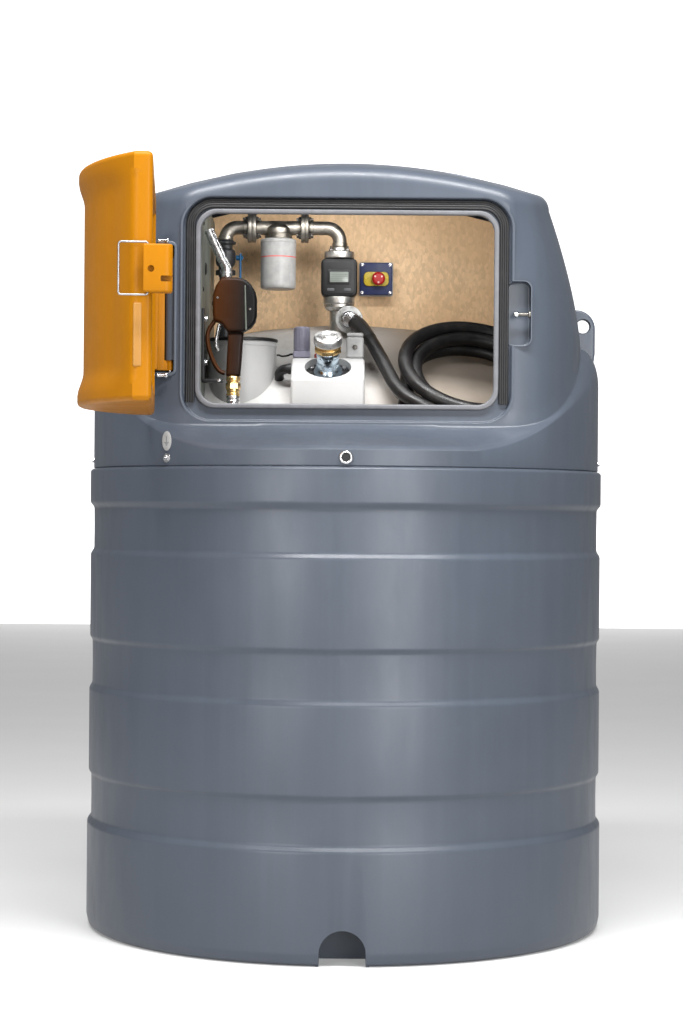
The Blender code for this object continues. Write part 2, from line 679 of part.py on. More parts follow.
def make_door():
    """The door panel with its ear and hinge knuckle, swung open, and the wire bail in its ear."""
    hinge = bpy.data.objects.new("door_hinge_axis", None)
    PARTS.objects.link(hinge)
    hinge.location = (HINGE_X, HINGE_Y, 0)
    hinge.rotation_euler = (0, 0, DOOR_OPEN)
    columns = 14
    rows = 10
    shape = bmesh.new()
    bmesh.ops.create_grid(shape, x_segments=columns, y_segments=rows, size=0.5)
    for vert in shape.verts:
        x = DOOR_X[0] + (vert.co.x + 0.5) * (DOOR_X[1] - DOOR_X[0])
        z = DOOR_Z[0] + (vert.co.y + 0.5) * (DOOR_Z[1] - DOOR_Z[0])
        vert.co = (x, door_skin(x, z), z)
    made = bmesh.ops.extrude_face_region(shape, geom=shape.faces[:])
    for vert in made["geom"]:
        if isinstance(vert, bmesh.types.BMVert):
            vert.co.y = DOOR_BACK
    bmesh.ops.recalc_face_normals(shape, faces=shape.faces)
    backs = [f for f in shape.faces if f.normal.y > 0.99]
    bmesh.ops.dissolve_faces(shape, faces=backs)
    door = keep("door_panel", new_mesh("door_panel", shape), ORANGE)
    edge = door.modifiers.new("edges", "BEVEL")
    edge.width = 0.010
    edge.segments = 2
    edge.limit_method = "ANGLE"
    edge.angle_limit = radians(50)
    door.parent = hinge
    low, high = EAR_Z
    step_x, step_y = EAR_STEP
    ear = box("ear", (DOOR_X[1] - 0.03, EAR_FRONT, low), (EAR_X, step_y, high), None)
    heel = box("heel", (step_x, step_y - 0.006, low), (EAR_X, EAR_BACK, high), None)
    slot = box("slot", (step_x - 0.01, SLOT_FRONT, STUD_Z - SLOT_HALF),
               (EAR_X + 0.01, EAR_BACK + 0.01, STUD_Z + SLOT_HALF), None)
    leg = box("leg", (-LEAF_HALF, LEAF_Y[0], KNUCKLE_Z[0]), (LEAF_HALF, 0, KNUCKLE_Z[1]), None)
    leaf = box("leaf", (-LEAF_HALF, LEAF_Y[0], KNUCKLE_Z[0]),
               (DOOR_X[0] + 0.012, LEAF_Y[1], KNUCKLE_Z[1]), None)
    knuckle = rod("knuckle", (0, 0, KNUCKLE_Z[0]), (0, 0, KNUCKLE_Z[1]), KNUCKLE_R, None, 16)
    bore = rod("bore", (0, 0, KNUCKLE_Z[0] - 0.01), (0, 0, KNUCKLE_Z[1] + 0.01), 0.0052, None, 12)
    keyhole = rod("keyhole", (EAR_X - 0.012, KEYHOLE[0], KEYHOLE[1]), (EAR_X + 0.01, KEYHOLE[0], KEYHOLE[1]),
                  0.007, None, 12)
    pins = rod("bail_bore", (BAIL_X, BAIL_Y, EAR_Z[0] - 0.01), (BAIL_X, BAIL_Y, EAR_Z[1] + 0.01),
               BAIL_WIRE + 0.0009, None, 10)
    for other, how in ((ear, "UNION"), (heel, "UNION"), (leg, "UNION"), (leaf, "UNION"),
                       (knuckle, "UNION"), (bore, "DIFFERENCE"), (slot, "DIFFERENCE"),
                       (keyhole, "DIFFERENCE"), (pins, "DIFFERENCE")):
        other.parent = hinge
        combine(door, other, how)
    reach = -BAIL_REACH
    rise = EAR_Z[1] + 0.009
    drop = EAR_Z[0] - 0.009
    wire = [(0, 0, EAR_Z[1] - 0.012), (0, 0, rise - 0.003), (0, -0.003, rise), (0, reach + 0.004, rise),
            (0, reach, rise - 0.004), (0, reach, drop + 0.004), (0, reach + 0.004, drop), (0, -0.003, drop),
            (0, 0, drop + 0.003), (0, 0, EAR_Z[0] + 0.012)]
    bail = tube("door_bail", wire, BAIL_WIRE, CHROME, 1)
    bail.parent = hinge
    bail.location = (BAIL_X, BAIL_Y, 0)


def elbow(x, side):
    """The points of a quarter bend from a vertical pipe up into the level one, to side 1 or -1."""
    points = []
    for a in range(0, 91, 15):
        across = side * ELBOW_R * (1 - cos(radians(a)))
        points.append((x + across, 0, PIPE_Z - ELBOW_R + ELBOW_R * sin(radians(a))))
    return points


def make_pipework():
    """Suction riser and valve, the pipe with its flanges and filter, and the flow meter on its outlet."""
    x = PIPE_LEFT_X
    tube("left_elbow", [(x, 0, 1.7318)] + elbow(x, 1) + [(-0.2553, 0, PIPE_Z)], PIPE_R, STEEL)
    body = [(0, 1.7315), (0.022, 1.7315), (0.024, 1.726), (0.018, 1.722), (0.018, 1.710), (0.026, 1.704),
            (0.026, 1.672), (0.018, 1.664), (0.018, 1.640), (0.016, 1.638), (0.016, 1.40), (0, 1.40)]
    stand_on_tank(turned("suction_valve", body, BLACK, 16, at=(x, 0, 0)))
    flange = [(0, 0.022), (FLANGE_R, 0.022), (FLANGE_R, 0), (0, 0)]
    turned("pipe_flange_left", flange, STEEL, 20, axis=(1, 0, 0), at=(-0.255, 0, PIPE_Z))
    head = rod("filter_head", (-0.2327, 0, PIPE_Z), (-0.1193, 0, PIPE_Z), PIPE_R, STEEL)
    low, high = FILTER_Z
    collar = rod("collar", (FILTER_X, 0, high + GAP), (FILTER_X, 0, PIPE_Z + 0.012), 0.035, None, 20)
    combine(head, collar, "UNION")
    can = [(0, high), (0.043, high), (0.046, high - 0.005), (0.046, low + 0.005), (0.042, low), (0, low)]
    turned("filter_cartridge", can, WHITE, 24, at=(FILTER_X, 0, 0))
    flange = [(0, 0.0193), (FLANGE_R, 0.0193), (FLANGE_R, 0), (0, 0)]
    turned("pipe_flange_right", flange, STEEL, 20, axis=(1, 0, 0), at=(-0.119, 0, PIPE_Z))
    x = PIPE_RIGHT_X
    tube("right_elbow", [(-0.0994, 0, PIPE_Z)] + elbow(x, -1)[::-1] + [(x, 0, 1.7158)], PIPE_R, STEEL)
    flange = [(0, 1.7155), (0.0385, 1.7155), (0.0385, 1.6870), (0, 1.6870)]
    turned("meter_top_flange", flange, STEEL, 20, at=(METER_X, 0, 0))
    low, high = METER_Z
    box("meter_body", (METER_X - METER_HALF, -0.034, low), (METER_X + METER_HALF, 0.030, high),
        BLACK, 0.012)
    box("meter_display", (METER_X - 0.024, -0.0373, 1.6240), (METER_X + 0.024, -0.0343, 1.6515),
        PANEL, 0.001, 1)
    flange = [(0, low - GAP), (0.040, low - GAP), (0.040, 1.5545), (0, 1.5545)]
    turned("meter_bottom_flange", flange, STEEL, 20, at=(METER_X, 0, 0))
    riser = rod("outlet_pipe", (METER_X, 0, 1.44), (METER_X, 0, 1.5542), 0.024, STEEL, 16)
    arm = rod("outlet_arm", (OUTLET_X, 0.004, OUTLET_Z), (OUTLET_X, -0.041, OUTLET_Z), 0.024, None, 16)
    stand_on_tank(combine(riser, arm, "UNION"))
    plate = [(0, 0.011), (0.035, 0.011), (0.035, 0), (0, 0)]
    turned("outlet_plate", plate, ALUMINIUM, 20, axis=(0, -1, 0), at=(0.005, -0.0413, OUTLET_Z))
    arm = [(0.010, 0.010), (-0.010, 0.010), (-0.010, -0.075), (0.010, -0.075)]
    lever = outline("valve_lever", arm, 0.006, (0, 0, 0), "X")
    hub = rod("lever_hub", (-0.0117, 0, 0), (0.003, 0, 0), 0.007, None, 12)
    lever.matrix_world = Matrix.Translation((LEVER_X, 0, LEVER_Z)) @ lever.matrix_world
    hub.location += Vector((LEVER_X, 0, LEVER_Z))
    combine(keep("valve_lever", lever, BLUE, False), hub, "UNION")


def switch_bore(name):
    """The bore that the stop button slides in."""
    front = SWITCH_SPOT + Vector((0, 0.12, 0))
    back = SWITCH_SPOT + Vector((0, 0.158, 0))
    return rod(name, front, back, SWITCH_BORE_R, None, 20)


def make_board():
    """The mounting board behind the pipework, the side panel, and the switch on the board."""
    middle = sum(BOARD_Y) / 2
    points = []
    for i in range(9):
        x = BOARD_HALF * (2 * i / 8 - 1)
        points.append((x, inner_top(x, BOARD_Y[1]) - 0.02))
    for i in range(7):
        x = BOARD_HALF * (1 - 2 * i / 6)
        points.append((x, roof(x, middle) - 0.045))
    board = outline("mounting_board", points, BOARD_Y[1] - BOARD_Y[0], (0, middle, 0))
    stand_on_tank(keep("mounting_board", board, TAN, False))
    side = [(-0.385, 1.05), (0.1935, 1.30), (0.1935, 1.80), (-0.30, 1.80), (-0.385, 1.76)]
    panel = outline("side_panel", side, PANEL_X[1] - PANEL_X[0], (sum(PANEL_X) / 2, 0, 0), "X")
    stand_on_tank(keep("side_panel", panel, PANEL, False))
    switch = box("switch_box", (0.030, 0.140, 1.6065), (0.1196, BOARD_Y[0] - GAP, 1.6955), BLUE, 0.006)
    combine(switch, switch_bore("bore"), "DIFFERENCE")
    cover = rounded_rectangle(0.042, 0.108, 1.631, 1.669, 0.012, 3)
    cover = keep("switch_plate", outline("switch_plate", cover, 0.006, (0, 0.1367, 0)), YELLOW, False)
    combine(cover, switch_bore("hole"), "DIFFERENCE")
    knob = [(0, 0.034), (0.013, 0.034), (0.0174, 0.029), (0.0174, 0.022), (0.008, 0.022), (0.008, 0),
            (0, 0)]
    turned("stop_button", knob, RED, 20, axis=(0, -1, 0), at=SWITCH_SPOT + Vector((0, 0.146, 0)))


def make_tank_fittings():
    """Inspection neck, filler, gauge, junction box and the short hose and cable between them."""
    neck = [(0, NECK_TOP), (NECK_R - 0.001, NECK_TOP), (NECK_R, NECK_TOP - 0.004), (NECK_R, 1.20),
            (0, 1.20)]
    stand_on_tank(turned("inspection_neck", neck, NATURAL, 28, at=(NECK_X, NECK_Y, 0)))
    foot = NECK_TOP + GAP
    cap = [(0, 1.470), (NECK_R + 0.001, 1.470), (NECK_R + 0.003, 1.468), (NECK_R + 0.003, foot), (0, foot)]
    turned("inspection_cap", cap, BLACK, 28, at=(NECK_X, NECK_Y, 0))
    front, back = BLOCK_Y
    slope_z = BLOCK_TOP - (BLOCK_STEP_Y - front) * sin(radians(30)) / cos(radians(30))
    side = [(front, 1.15), (back, 1.15), (back, BLOCK_TOP), (BLOCK_STEP_Y, BLOCK_TOP), (front, slope_z)]
    block = outline("filler_block", side, BLOCK_X[1] - BLOCK_X[0], (sum(BLOCK_X) / 2, 0, 0), "X")
    keep("filler_block", block, NATURAL, False)
    edge = block.modifiers.new("edges", "BEVEL")
    edge.width = 0.006
    edge.segments = 1
    well_foot = FILLER_FOOT - FILLER_AXIS * WELL_DEPTH
    combine(block, rod("well", well_foot, FILLER_FOOT + FILLER_AXIS * 0.08, WELL_R, None, 24), "DIFFERENCE")
    stand_on_tank(block)
    neck = [(0, 0.064), (0.0285, 0.064), (0.0285, 0.030), (0.036, 0.006), (0.036, 0), (0, 0)]
    foot = well_foot + FILLER_AXIS * GAP
    turned("filler_neck", neck, CHROME, 20, axis=FILLER_AXIS, at=foot)
    ring = [(0, 0.084), (0.031, 0.084), (0.031, 0.0643), (0, 0.0643)]
    turned("filler_ring", ring, BRASS, 12, axis=FILLER_AXIS, at=foot)
    cap = [(0, 0.106), (0.030, 0.106), (0.035, 0.101), (0.035, 0.0843), (0, 0.0843)]
    turned("filler_cap", cap, ALUMINIUM, 20, axis=FILLER_AXIS, at=foot)
    top = BLOCK_TOP + GAP
    box("gauge_base", (-0.133, BLOCK_STEP_Y + 0.002, top), (-0.090, BLOCK_Y[1], 1.4380), LILAC, 0.002, 1)
    gauge_y = (BLOCK_STEP_Y + BLOCK_Y[1]) / 2 + 0.001
    cap = [(0, 1.499), (0.017, 1.499), (0.0205, 1.494), (0.0205, 1.4383), (0, 1.4383)]
    turned("gauge_cap", cap, LILAC, 20, at=(-0.1115, gauge_y, 0))
    box("junction_box", (-0.002, BLOCK_STEP_Y + 0.002, top), (0.042, BLOCK_Y[1], 1.484), WHITE, 0.008)
    start = Vector((BLOCK_X[0] - GAP, -0.235, 1.392))
    points = [start, start + Vector((-0.014, 0, 0)), start + Vector((-0.026, 0.013, -0.004)),
              start + Vector((-0.030, 0.030, -0.012)), start + Vector((-0.030, 0.046, -0.03))]
    stub = solid_mesh(tube("breather_hose", points, 0.012, None, 2))
    stand_on_tank(keep("breather_hose", stub, RUBBER))
    cable = [(NECK_X + NECK_R + GAP, NECK_Y, 1.430), (-0.168, NECK_Y, 1.430), (-0.160, -0.172, 1.427),
             (-0.146, -0.186, 1.428), (-0.139, -0.188, 1.431), (-0.1335, -0.188, 1.431)]
    tube("sensor_cable", cable, 0.0025, RUBBER, 1)


def make_nozzle():
    """The dispensing nozzle in its holder."""
    y = NOZZLE_Y
    spout = [(-0.335, y, 1.719), (-0.322, y, 1.690), (-0.303, y, 1.650), (-0.291, y, 1.626),
             (-0.291, y, 1.6053)]
    tube("nozzle_spout", spout, SPOUT_R, ALUMINIUM)
    side = [(-0.303, 1.605), (-0.262, 1.605), (-0.232, 1.588), (-0.217, 1.560), (-0.217, 1.505),
            (-0.232, 1.482), (-0.249, 1.4725), (-0.287, 1.4725), (-0.302, 1.492), (-0.322, 1.500),
            (-0.324, 1.560)]
    grip = [(-0.287, 1.4722), (-0.249, 1.4722), (-0.256, 1.3675), (-0.291, 1.3675)]
    for name, points, thickness, width in (("nozzle_body", side, 0.048, 0.010),
                                           ("nozzle_grip", grip, 0.032, 0.008)):
        moulding = keep(name, outline(name, points, thickness, (0, y, 0)), BLACK, False)
        edge = moulding.modifiers.new("edges", "BEVEL")
        edge.width = width
        edge.segments = 2
        edge.limit_method = "ANGLE"
        edge.angle_limit = radians(60)
    loop = [(-0.3195, 1.4995), (-0.333, 1.478), (-0.336, 1.455), (-0.330, 1.425), (-0.318, 1.396),
            (-0.306, 1.379), (-0.2935, 1.3745)]
    tube("nozzle_guard", [(a, y, b) for a, b in loop], 0.005, BLACK, 2)
    bar = [(-0.3075, 1.4926), (-0.3125, 1.468), (-0.3150, 1.450), (-0.3135, 1.436), (-0.3100, 1.428)]
    trigger = solid_mesh(tube("nozzle_trigger", [(a, y, b) for a, b in bar], 0.0042, None, 2))
    keep("nozzle_trigger", trigger, ALUMINIUM)
    swivel = [(0, 1.3672), (0.016, 1.3672), (0.018, 1.363), (0.018, 1.322), (0.016, 1.318),
              (0.0165, 1.316), (0.0165, 1.292), (0, 1.292)]
    turned("nozzle_swivel", swivel, BRASS, 16, at=(SWIVEL_X, y, 0))
    back = PANEL_X[1] + GAP
    holder = [(back, 1.530), (back, 1.352), (-0.298, 1.352), (-0.298, 1.360), (-0.343, 1.360),
              (-0.343, 1.530)]
    keep("nozzle_holder", outline("nozzle_holder", holder, 0.040, (0, y + 0.005, 0)), BLACK, False)


def curve_through(points, spacing):
    """A smooth curve through a route's points, with a point at about every spacing."""
    spots = [Vector(p) for p in points]
    smooth = []
    for i in range(len(spots) - 1):
        before = spots[max(i - 1, 0)]
        after = spots[min(i + 2, len(spots) - 1)]
        a = spots[i]
        b = spots[i + 1]
        pull_a = (b - before) / 6 if i else (b - a) / 3
        pull_b = (after - a) / 6 if i < len(spots) - 2 else (b - a) / 3
        count = max(2, round((b - a).length / spacing) + 1)
        piece = interpolate_bezier(a, a + pull_a, b - pull_b, b, count)
        smooth += piece if not smooth else piece[1:]
    return smooth


HOSE_EXIT = (0.021, -0.086, 1.518)
HOSE_LEAD = [HOSE_EXIT, (0.034, -0.113, 1.505), (0.049, -0.145, 1.484), (0.066, -0.182, 1.455),
             (0.084, -0.222, 1.421), (0.101, -0.262, 1.385), (0.119, -0.300, 1.350),
             (0.146, -0.328, 1.322), (0.180, -0.348, 1.302), (0.215, -0.357, 1.288)]
HOSE_RETURN = [(0.152, -0.254, 1.344), (0.139, -0.296, 1.296), (0.119, -0.343, 1.238),
               (0.088, -0.385, 1.190), (0.045, -0.418, 1.145), (-0.008, -0.440, 1.112),
               (-0.066, -0.449, 1.102), (-0.122, -0.446, 1.118), (-0.1735, -0.4319, 1.146),
               (-0.2080, -0.406, 1.163), (-0.2380, -0.376, 1.188), (-0.2595, -0.353, 1.222),
               (-0.2705, -0.3425, 1.256), (SWIVEL_X, NOZZLE_Y, 1.2917)]


def coil_ring(name, grow):
    """The outer shape of the coiled hose: a ring lying on the slope of the inner tank."""
    half = COIL_BUNDLE + grow
    inner = COIL_R - half
    outer = COIL_R + half
    lip = 0.014
    ring = [(inner + lip, half), (outer - lip, half), (outer, half - lip), (outer, lip - half),
            (outer - lip, -half), (inner + lip, -half), (inner, lip - half), (inner, half - lip)]
    return turned(name, ring, RUBBER, 28, closed=True, axis=COIL_ACROSS.cross(COIL_BACK), at=COIL_CENTRE)


def make_hose():
    """The delivery hose: its tail on the outlet, the lead, the coil and the return to the nozzle."""
    exit_point = Vector(HOSE_EXIT)
    way = (Vector(HOSE_LEAD[1]) - exit_point).normalized()
    foot = Vector((0.005, -0.0526, 1.529))
    tail = rod("hose_tail", foot, foot + Vector((0, -0.016, 0)), 0.022, CHROME, 16)
    ferrule = rod("hose_ferrule", exit_point - way * 0.023, exit_point - way * GAP, 0.0195, None, 16)
    combine(tail, ferrule, "UNION")
    for name, route in (("hose_lead", HOSE_LEAD), ("hose_return", HOSE_RETURN)):
        line = curve_through(route, 0.04)
        if name == "hose_return":
            line.insert(-1, line[-1] - Vector((0, 0, 0.012)))
        hose = keep(name, solid_mesh(tube(name, line, HOSE_R, None, 2)), RUBBER)
        combine(hose, coil_ring("coil_room", GAP), "DIFFERENCE")
    coil_ring("hose_coil", 0)


make_bund()
make_inner_tank()
make_hood()
make_hood_fittings()
make_pipework()
make_board()
make_tank_fittings()
make_nozzle()
make_hose()
make_door()
bpy.context.view_layer.update()
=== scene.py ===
"""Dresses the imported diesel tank: bund, hood and door, and the dispensing equipment in its cabinet."""
from math import atan2, cos, degrees, pi, radians, sin, sqrt

import bmesh
import bpy
from mathutils import Matrix, Vector
from mathutils.geometry import interpolate_bezier


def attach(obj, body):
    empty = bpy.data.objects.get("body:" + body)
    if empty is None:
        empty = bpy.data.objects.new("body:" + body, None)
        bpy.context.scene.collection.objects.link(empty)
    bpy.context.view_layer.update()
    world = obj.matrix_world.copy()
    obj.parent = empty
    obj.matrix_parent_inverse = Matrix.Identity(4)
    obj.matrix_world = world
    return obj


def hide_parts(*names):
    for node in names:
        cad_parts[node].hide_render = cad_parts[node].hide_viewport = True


bl_info = {
    "name": "Diesel tank",
    "version": (1, 0, 0),
    "blender": (4, 5, 0),
    "location": "3D View > Sidebar > Tank",
    "description": "Builds the bund, hood, door and dispensing equipment of a diesel tank",
    "category": "Object",
}

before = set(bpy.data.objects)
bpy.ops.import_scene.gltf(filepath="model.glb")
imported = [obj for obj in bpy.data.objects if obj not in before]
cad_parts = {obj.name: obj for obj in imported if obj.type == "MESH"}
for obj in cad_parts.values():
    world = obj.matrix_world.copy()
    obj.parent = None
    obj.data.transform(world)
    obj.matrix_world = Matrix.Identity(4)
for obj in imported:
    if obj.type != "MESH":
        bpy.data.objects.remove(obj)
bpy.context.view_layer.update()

UP = (0, 0, 1)
DOWN = (0, 0, -1)
RIGHT = (1, 0, 0)
LEFT = (-1, 0, 0)
FRONT = (0, -1, 0)
BACK = (0, 1, 0)

# Bund and hood
BUND_R = 0.650             # the bund at its widest
SKIRT_R = 0.639            # the hood's skirt
ON_SKIRT = SKIRT_R + 0.0003    # where a fitting sits on the skirt
CABIN_CAP_R = 0.652        # the cabin's sides stay within about this distance of the axis
CABIN_BLEND = 24           # how tightly the cabin's side and its limits are blended
FACE_Y = -0.440            # the plane of the cabinet's face
RECESS_DEPTH = 0.016       # the door's recess in that face
MOUTH = (0.396, 1.251, 1.8025, 0.070)      # half width, bottom, top and corner radius of the recess
MOUTH_INSIDE = (0.358, 1.2885, 1.7665)     # half width, bottom and top of the opening in it
STUD_Z = 1.514
STUD_FOOT = (0.4357, -0.428, STUD_Z)
POCKET = (0.355, 0.436, 1.440, 1.592)      # left, right, bottom and top of the stud's pocket
BAY = (-0.470, -0.4105, 1.370, 1.6725)     # the same of the hinge's bay

# Door, measured from the hinge's axis with the door closed
HINGE = Vector((-0.421, -0.4165, 0))
DOOR_TURN = Matrix.Translation(HINGE) @ Matrix.Rotation(radians(-86), 4, "Z")
DOOR = (0.039, 0.803, 1.267, 1.780)        # left, right, bottom and top of the panel
DOOR_BACK = -0.035         # the panel's inner face
DOOR_THICK = 0.039         # at the panel's side edges
DOOR_CROWN_R = 0.638
KNUCKLE_Z = (1.375, 1.667)
KNUCKLE_H = 0.024
EAR_SIDE = 0.843           # the ear's outer side
EAR_FRONT = -0.0525
EAR_BACK = 0.0066
EAR_STEP = (0.806, -0.035)     # where the ear's thick part begins, and the thin part's back
BAIL = Vector((0.825, -0.0436, 0))

# In the cabinet
PIPE_Z = 1.765             # the pipe that carries the filter
RISER_X = -0.311
FILTER_X = -0.1767
METER_X = -0.021
OUTLET = (0.005, 1.529)        # the hose's outlet, seen from the front
STOP = (0.0807, 1.6495)        # the stop button
PANEL_FACE = -0.350
DRUM = (-0.259, -0.165, 0)     # the inspection drum's axis
GAUGE = (-0.1115, -0.1915)
FILLER_AXIS = Vector((0, -sin(radians(31)), cos(radians(31))))
FILLER_FOOT = Vector((-0.046, -0.258, 1.396)) - FILLER_AXIS * 0.020
NOZZLE_Y = -0.340
SWIVEL = (-0.2735, NOZZLE_Y, 0)


class TankLook(bpy.types.PropertyGroup):
    """Colours of the large mouldings."""
    tank_colour: bpy.props.FloatVectorProperty(
        name="Tank colour", description="Colour of the bund and the hood", subtype="COLOR", size=3,
        default=(0.052, 0.062, 0.080), min=0, max=1)
    door_colour: bpy.props.FloatVectorProperty(
        name="Door colour", description="Colour of the cabinet's door", subtype="COLOR", size=3,
        default=(0.30, 0.112, 0.0005), min=0, max=1)
    board_colour: bpy.props.FloatVectorProperty(
        name="Board colour", description="Colour of the board behind the pipework", subtype="COLOR", size=3,
        default=(0.84, 0.59, 0.35), min=0, max=1)
    round_steps: bpy.props.IntProperty(
        name="Round steps", description="Sides of the large turned shells", default=192, min=48, max=256)


class HoseLook(bpy.types.PropertyGroup):
    """Sizes of the delivery hose."""
    diameter: bpy.props.FloatProperty(
        name="Diameter", description="Outer diameter of the hose", default=0.034, unit="LENGTH",
        min=0.02, max=0.05)
    ring_radius: bpy.props.FloatProperty(
        name="Coil radius", description="Radius of the coil at the middle of its turns", default=0.172,
        unit="LENGTH", min=0.136, max=0.2)


class StageLook(bpy.types.PropertyGroup):
    """The studio around the tank."""
    distance: bpy.props.FloatProperty(
        name="Camera distance", description="From the tank's axis to the camera", default=6.2, unit="LENGTH")
    height: bpy.props.FloatProperty(
        name="Camera height", description="Height over the ground", default=1.042, unit="LENGTH")
    lens: bpy.props.FloatProperty(
        name="Lens", description="Focal length in millimetres", default=85.46, min=20, max=200)


def soften(profile, radius, closed=False, steps=4):
    """Rounds the corners of a profile of (radius, height) points; points on the axis stay sharp."""
    straight = radians(172)
    count = len(profile)
    made = []
    for i, (x, z) in enumerate(profile):
        last = not closed and i in (0, count - 1)
        if last or x < 1e-6:
            made.append((x, z))
            continue
        here = Vector((x, z))
        before = Vector(profile[i - 1]) - here
        after = Vector(profile[(i + 1) % count]) - here
        turn = before.angle(after)
        if turn > straight:
            made.append((x, z))
            continue
        room = min(before.length, after.length) * 0.48
        reach = min(room, radius / max(sin(turn / 2), 0.2))
        start = here + before.normalized() * reach
        end = here + after.normalized() * reach
        for k in range(steps + 1):
            t = k / steps
            spot = start * (1 - t) ** 2 + here * 2 * t * (1 - t) + end * t * t
            made.append((spot.x, spot.y))
    return made


def quarter(steps):
    """The angles from 0 to 90 degrees, in equal steps."""
    return [radians(90 * i / steps) for i in range(steps + 1)]


def rounded_rectangle(x0, x1, z0, z1, radius, steps=8):
    """The points of a rectangle with round corners."""
    corners = ((x1 - radius, z1 - radius, 0), (x0 + radius, z1 - radius, pi / 2),
               (x0 + radius, z0 + radius, pi), (x1 - radius, z0 + radius, 3 * pi / 2))
    return [(cx + radius * cos(start + a), cz + radius * sin(start + a))
            for cx, cz, start in corners for a in quarter(steps)]


def about(x, half, low, high):
    """The left, right, bottom and top of a rectangle centred on x."""
    return (x - half, x + half, low, high)


def circle(cx, cz, radius, count=24, turn=0.0):
    """The points of a circle or, with a small count, of a regular polygon."""
    return [(cx + radius * cos(2 * pi * i / count + turn), cz + radius * sin(2 * pi * i / count + turn))
            for i in range(count)]


def aimed(foot, axis):
    """The matrix that takes Z to an axis and the origin to a foot."""
    return Matrix.Translation(Vector(foot)) @ Vector(axis).to_track_quat("Z", "Y").to_matrix().to_4x4()


def widened(y, factor):
    """The matrix that widens a shape to front and back of a plane."""
    return Matrix.Translation((0, y, 0)) @ Matrix.Diagonal((1, factor, 1, 1)) @ Matrix.Translation((0, -y, 0))


def smooth_line(points, spacing=0.006):
    """A smooth curve through points, as a list of points."""
    spots = [Vector(p) for p in points]
    made = [spots[0]]
    for i in range(len(spots) - 1):
        before = spots[max(i - 1, 0)]
        after = spots[min(i + 2, len(spots) - 1)]
        a = spots[i]
        b = spots[i + 1]
        pull_a = (b - before) / 6 if i else (b - a) / 3
        pull_b = (after - a) / 6 if i < len(spots) - 2 else (b - a) / 3
        count = max(3, round((b - a).length / spacing) + 1)
        made += interpolate_bezier(a, a + pull_a, b - pull_b, b, count)[1:]
    return made


def smooth_step(value, low, high):
    """Goes smoothly from 0 to 1 between two values."""
    u = min(max((value - low) / (high - low), 0.0), 1.0)
    return u * u * (3 - 2 * u)


def lofted(rings):
    """An open skin through rings of points: the bmesh, and the edges of its first and its last ring."""
    mesh = bmesh.new()
    loop = [mesh.verts.new(p) for p in rings[0]]
    first = [mesh.edges.new((a, b)) for a, b in zip(loop, loop[1:] + loop[:1])]
    edges = first
    for ring in rings[1:]:
        grown = bmesh.ops.extrude_edge_only(mesh, edges=edges)["geom"]
        verts = [v for v in grown if isinstance(v, bmesh.types.BMVert)]
        edges = [e for e in grown if isinstance(e, bmesh.types.BMEdge)]
        for vert, point in zip(verts, ring):
            vert.co = point
    return mesh, first, edges


def bevel(mesh, edges, radius, segments, keep_apart=False):
    """Rounds edges of a bmesh."""
    bmesh.ops.bevel(mesh, geom=edges, offset=radius, segments=segments, profile=0.5, affect="EDGES",
                    material=-1, clamp_overlap=keep_apart)


def creases(mesh, least):
    """The edges of a bmesh that turn by more than a number of degrees."""
    return [e for e in mesh.edges if len(e.link_faces) == 2 and e.calc_face_angle(0) > radians(least)]


def discard(thing):
    """Removes a helper object and its mesh."""
    held = thing.data
    bpy.data.objects.remove(thing, do_unlink=True)
    bpy.data.meshes.remove(held)


def repaint(node, finish):
    """Gives a CAD node a finish."""
    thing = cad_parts[node]
    thing.data.materials.clear()
    thing.data.materials.append(bpy.data.materials[finish])


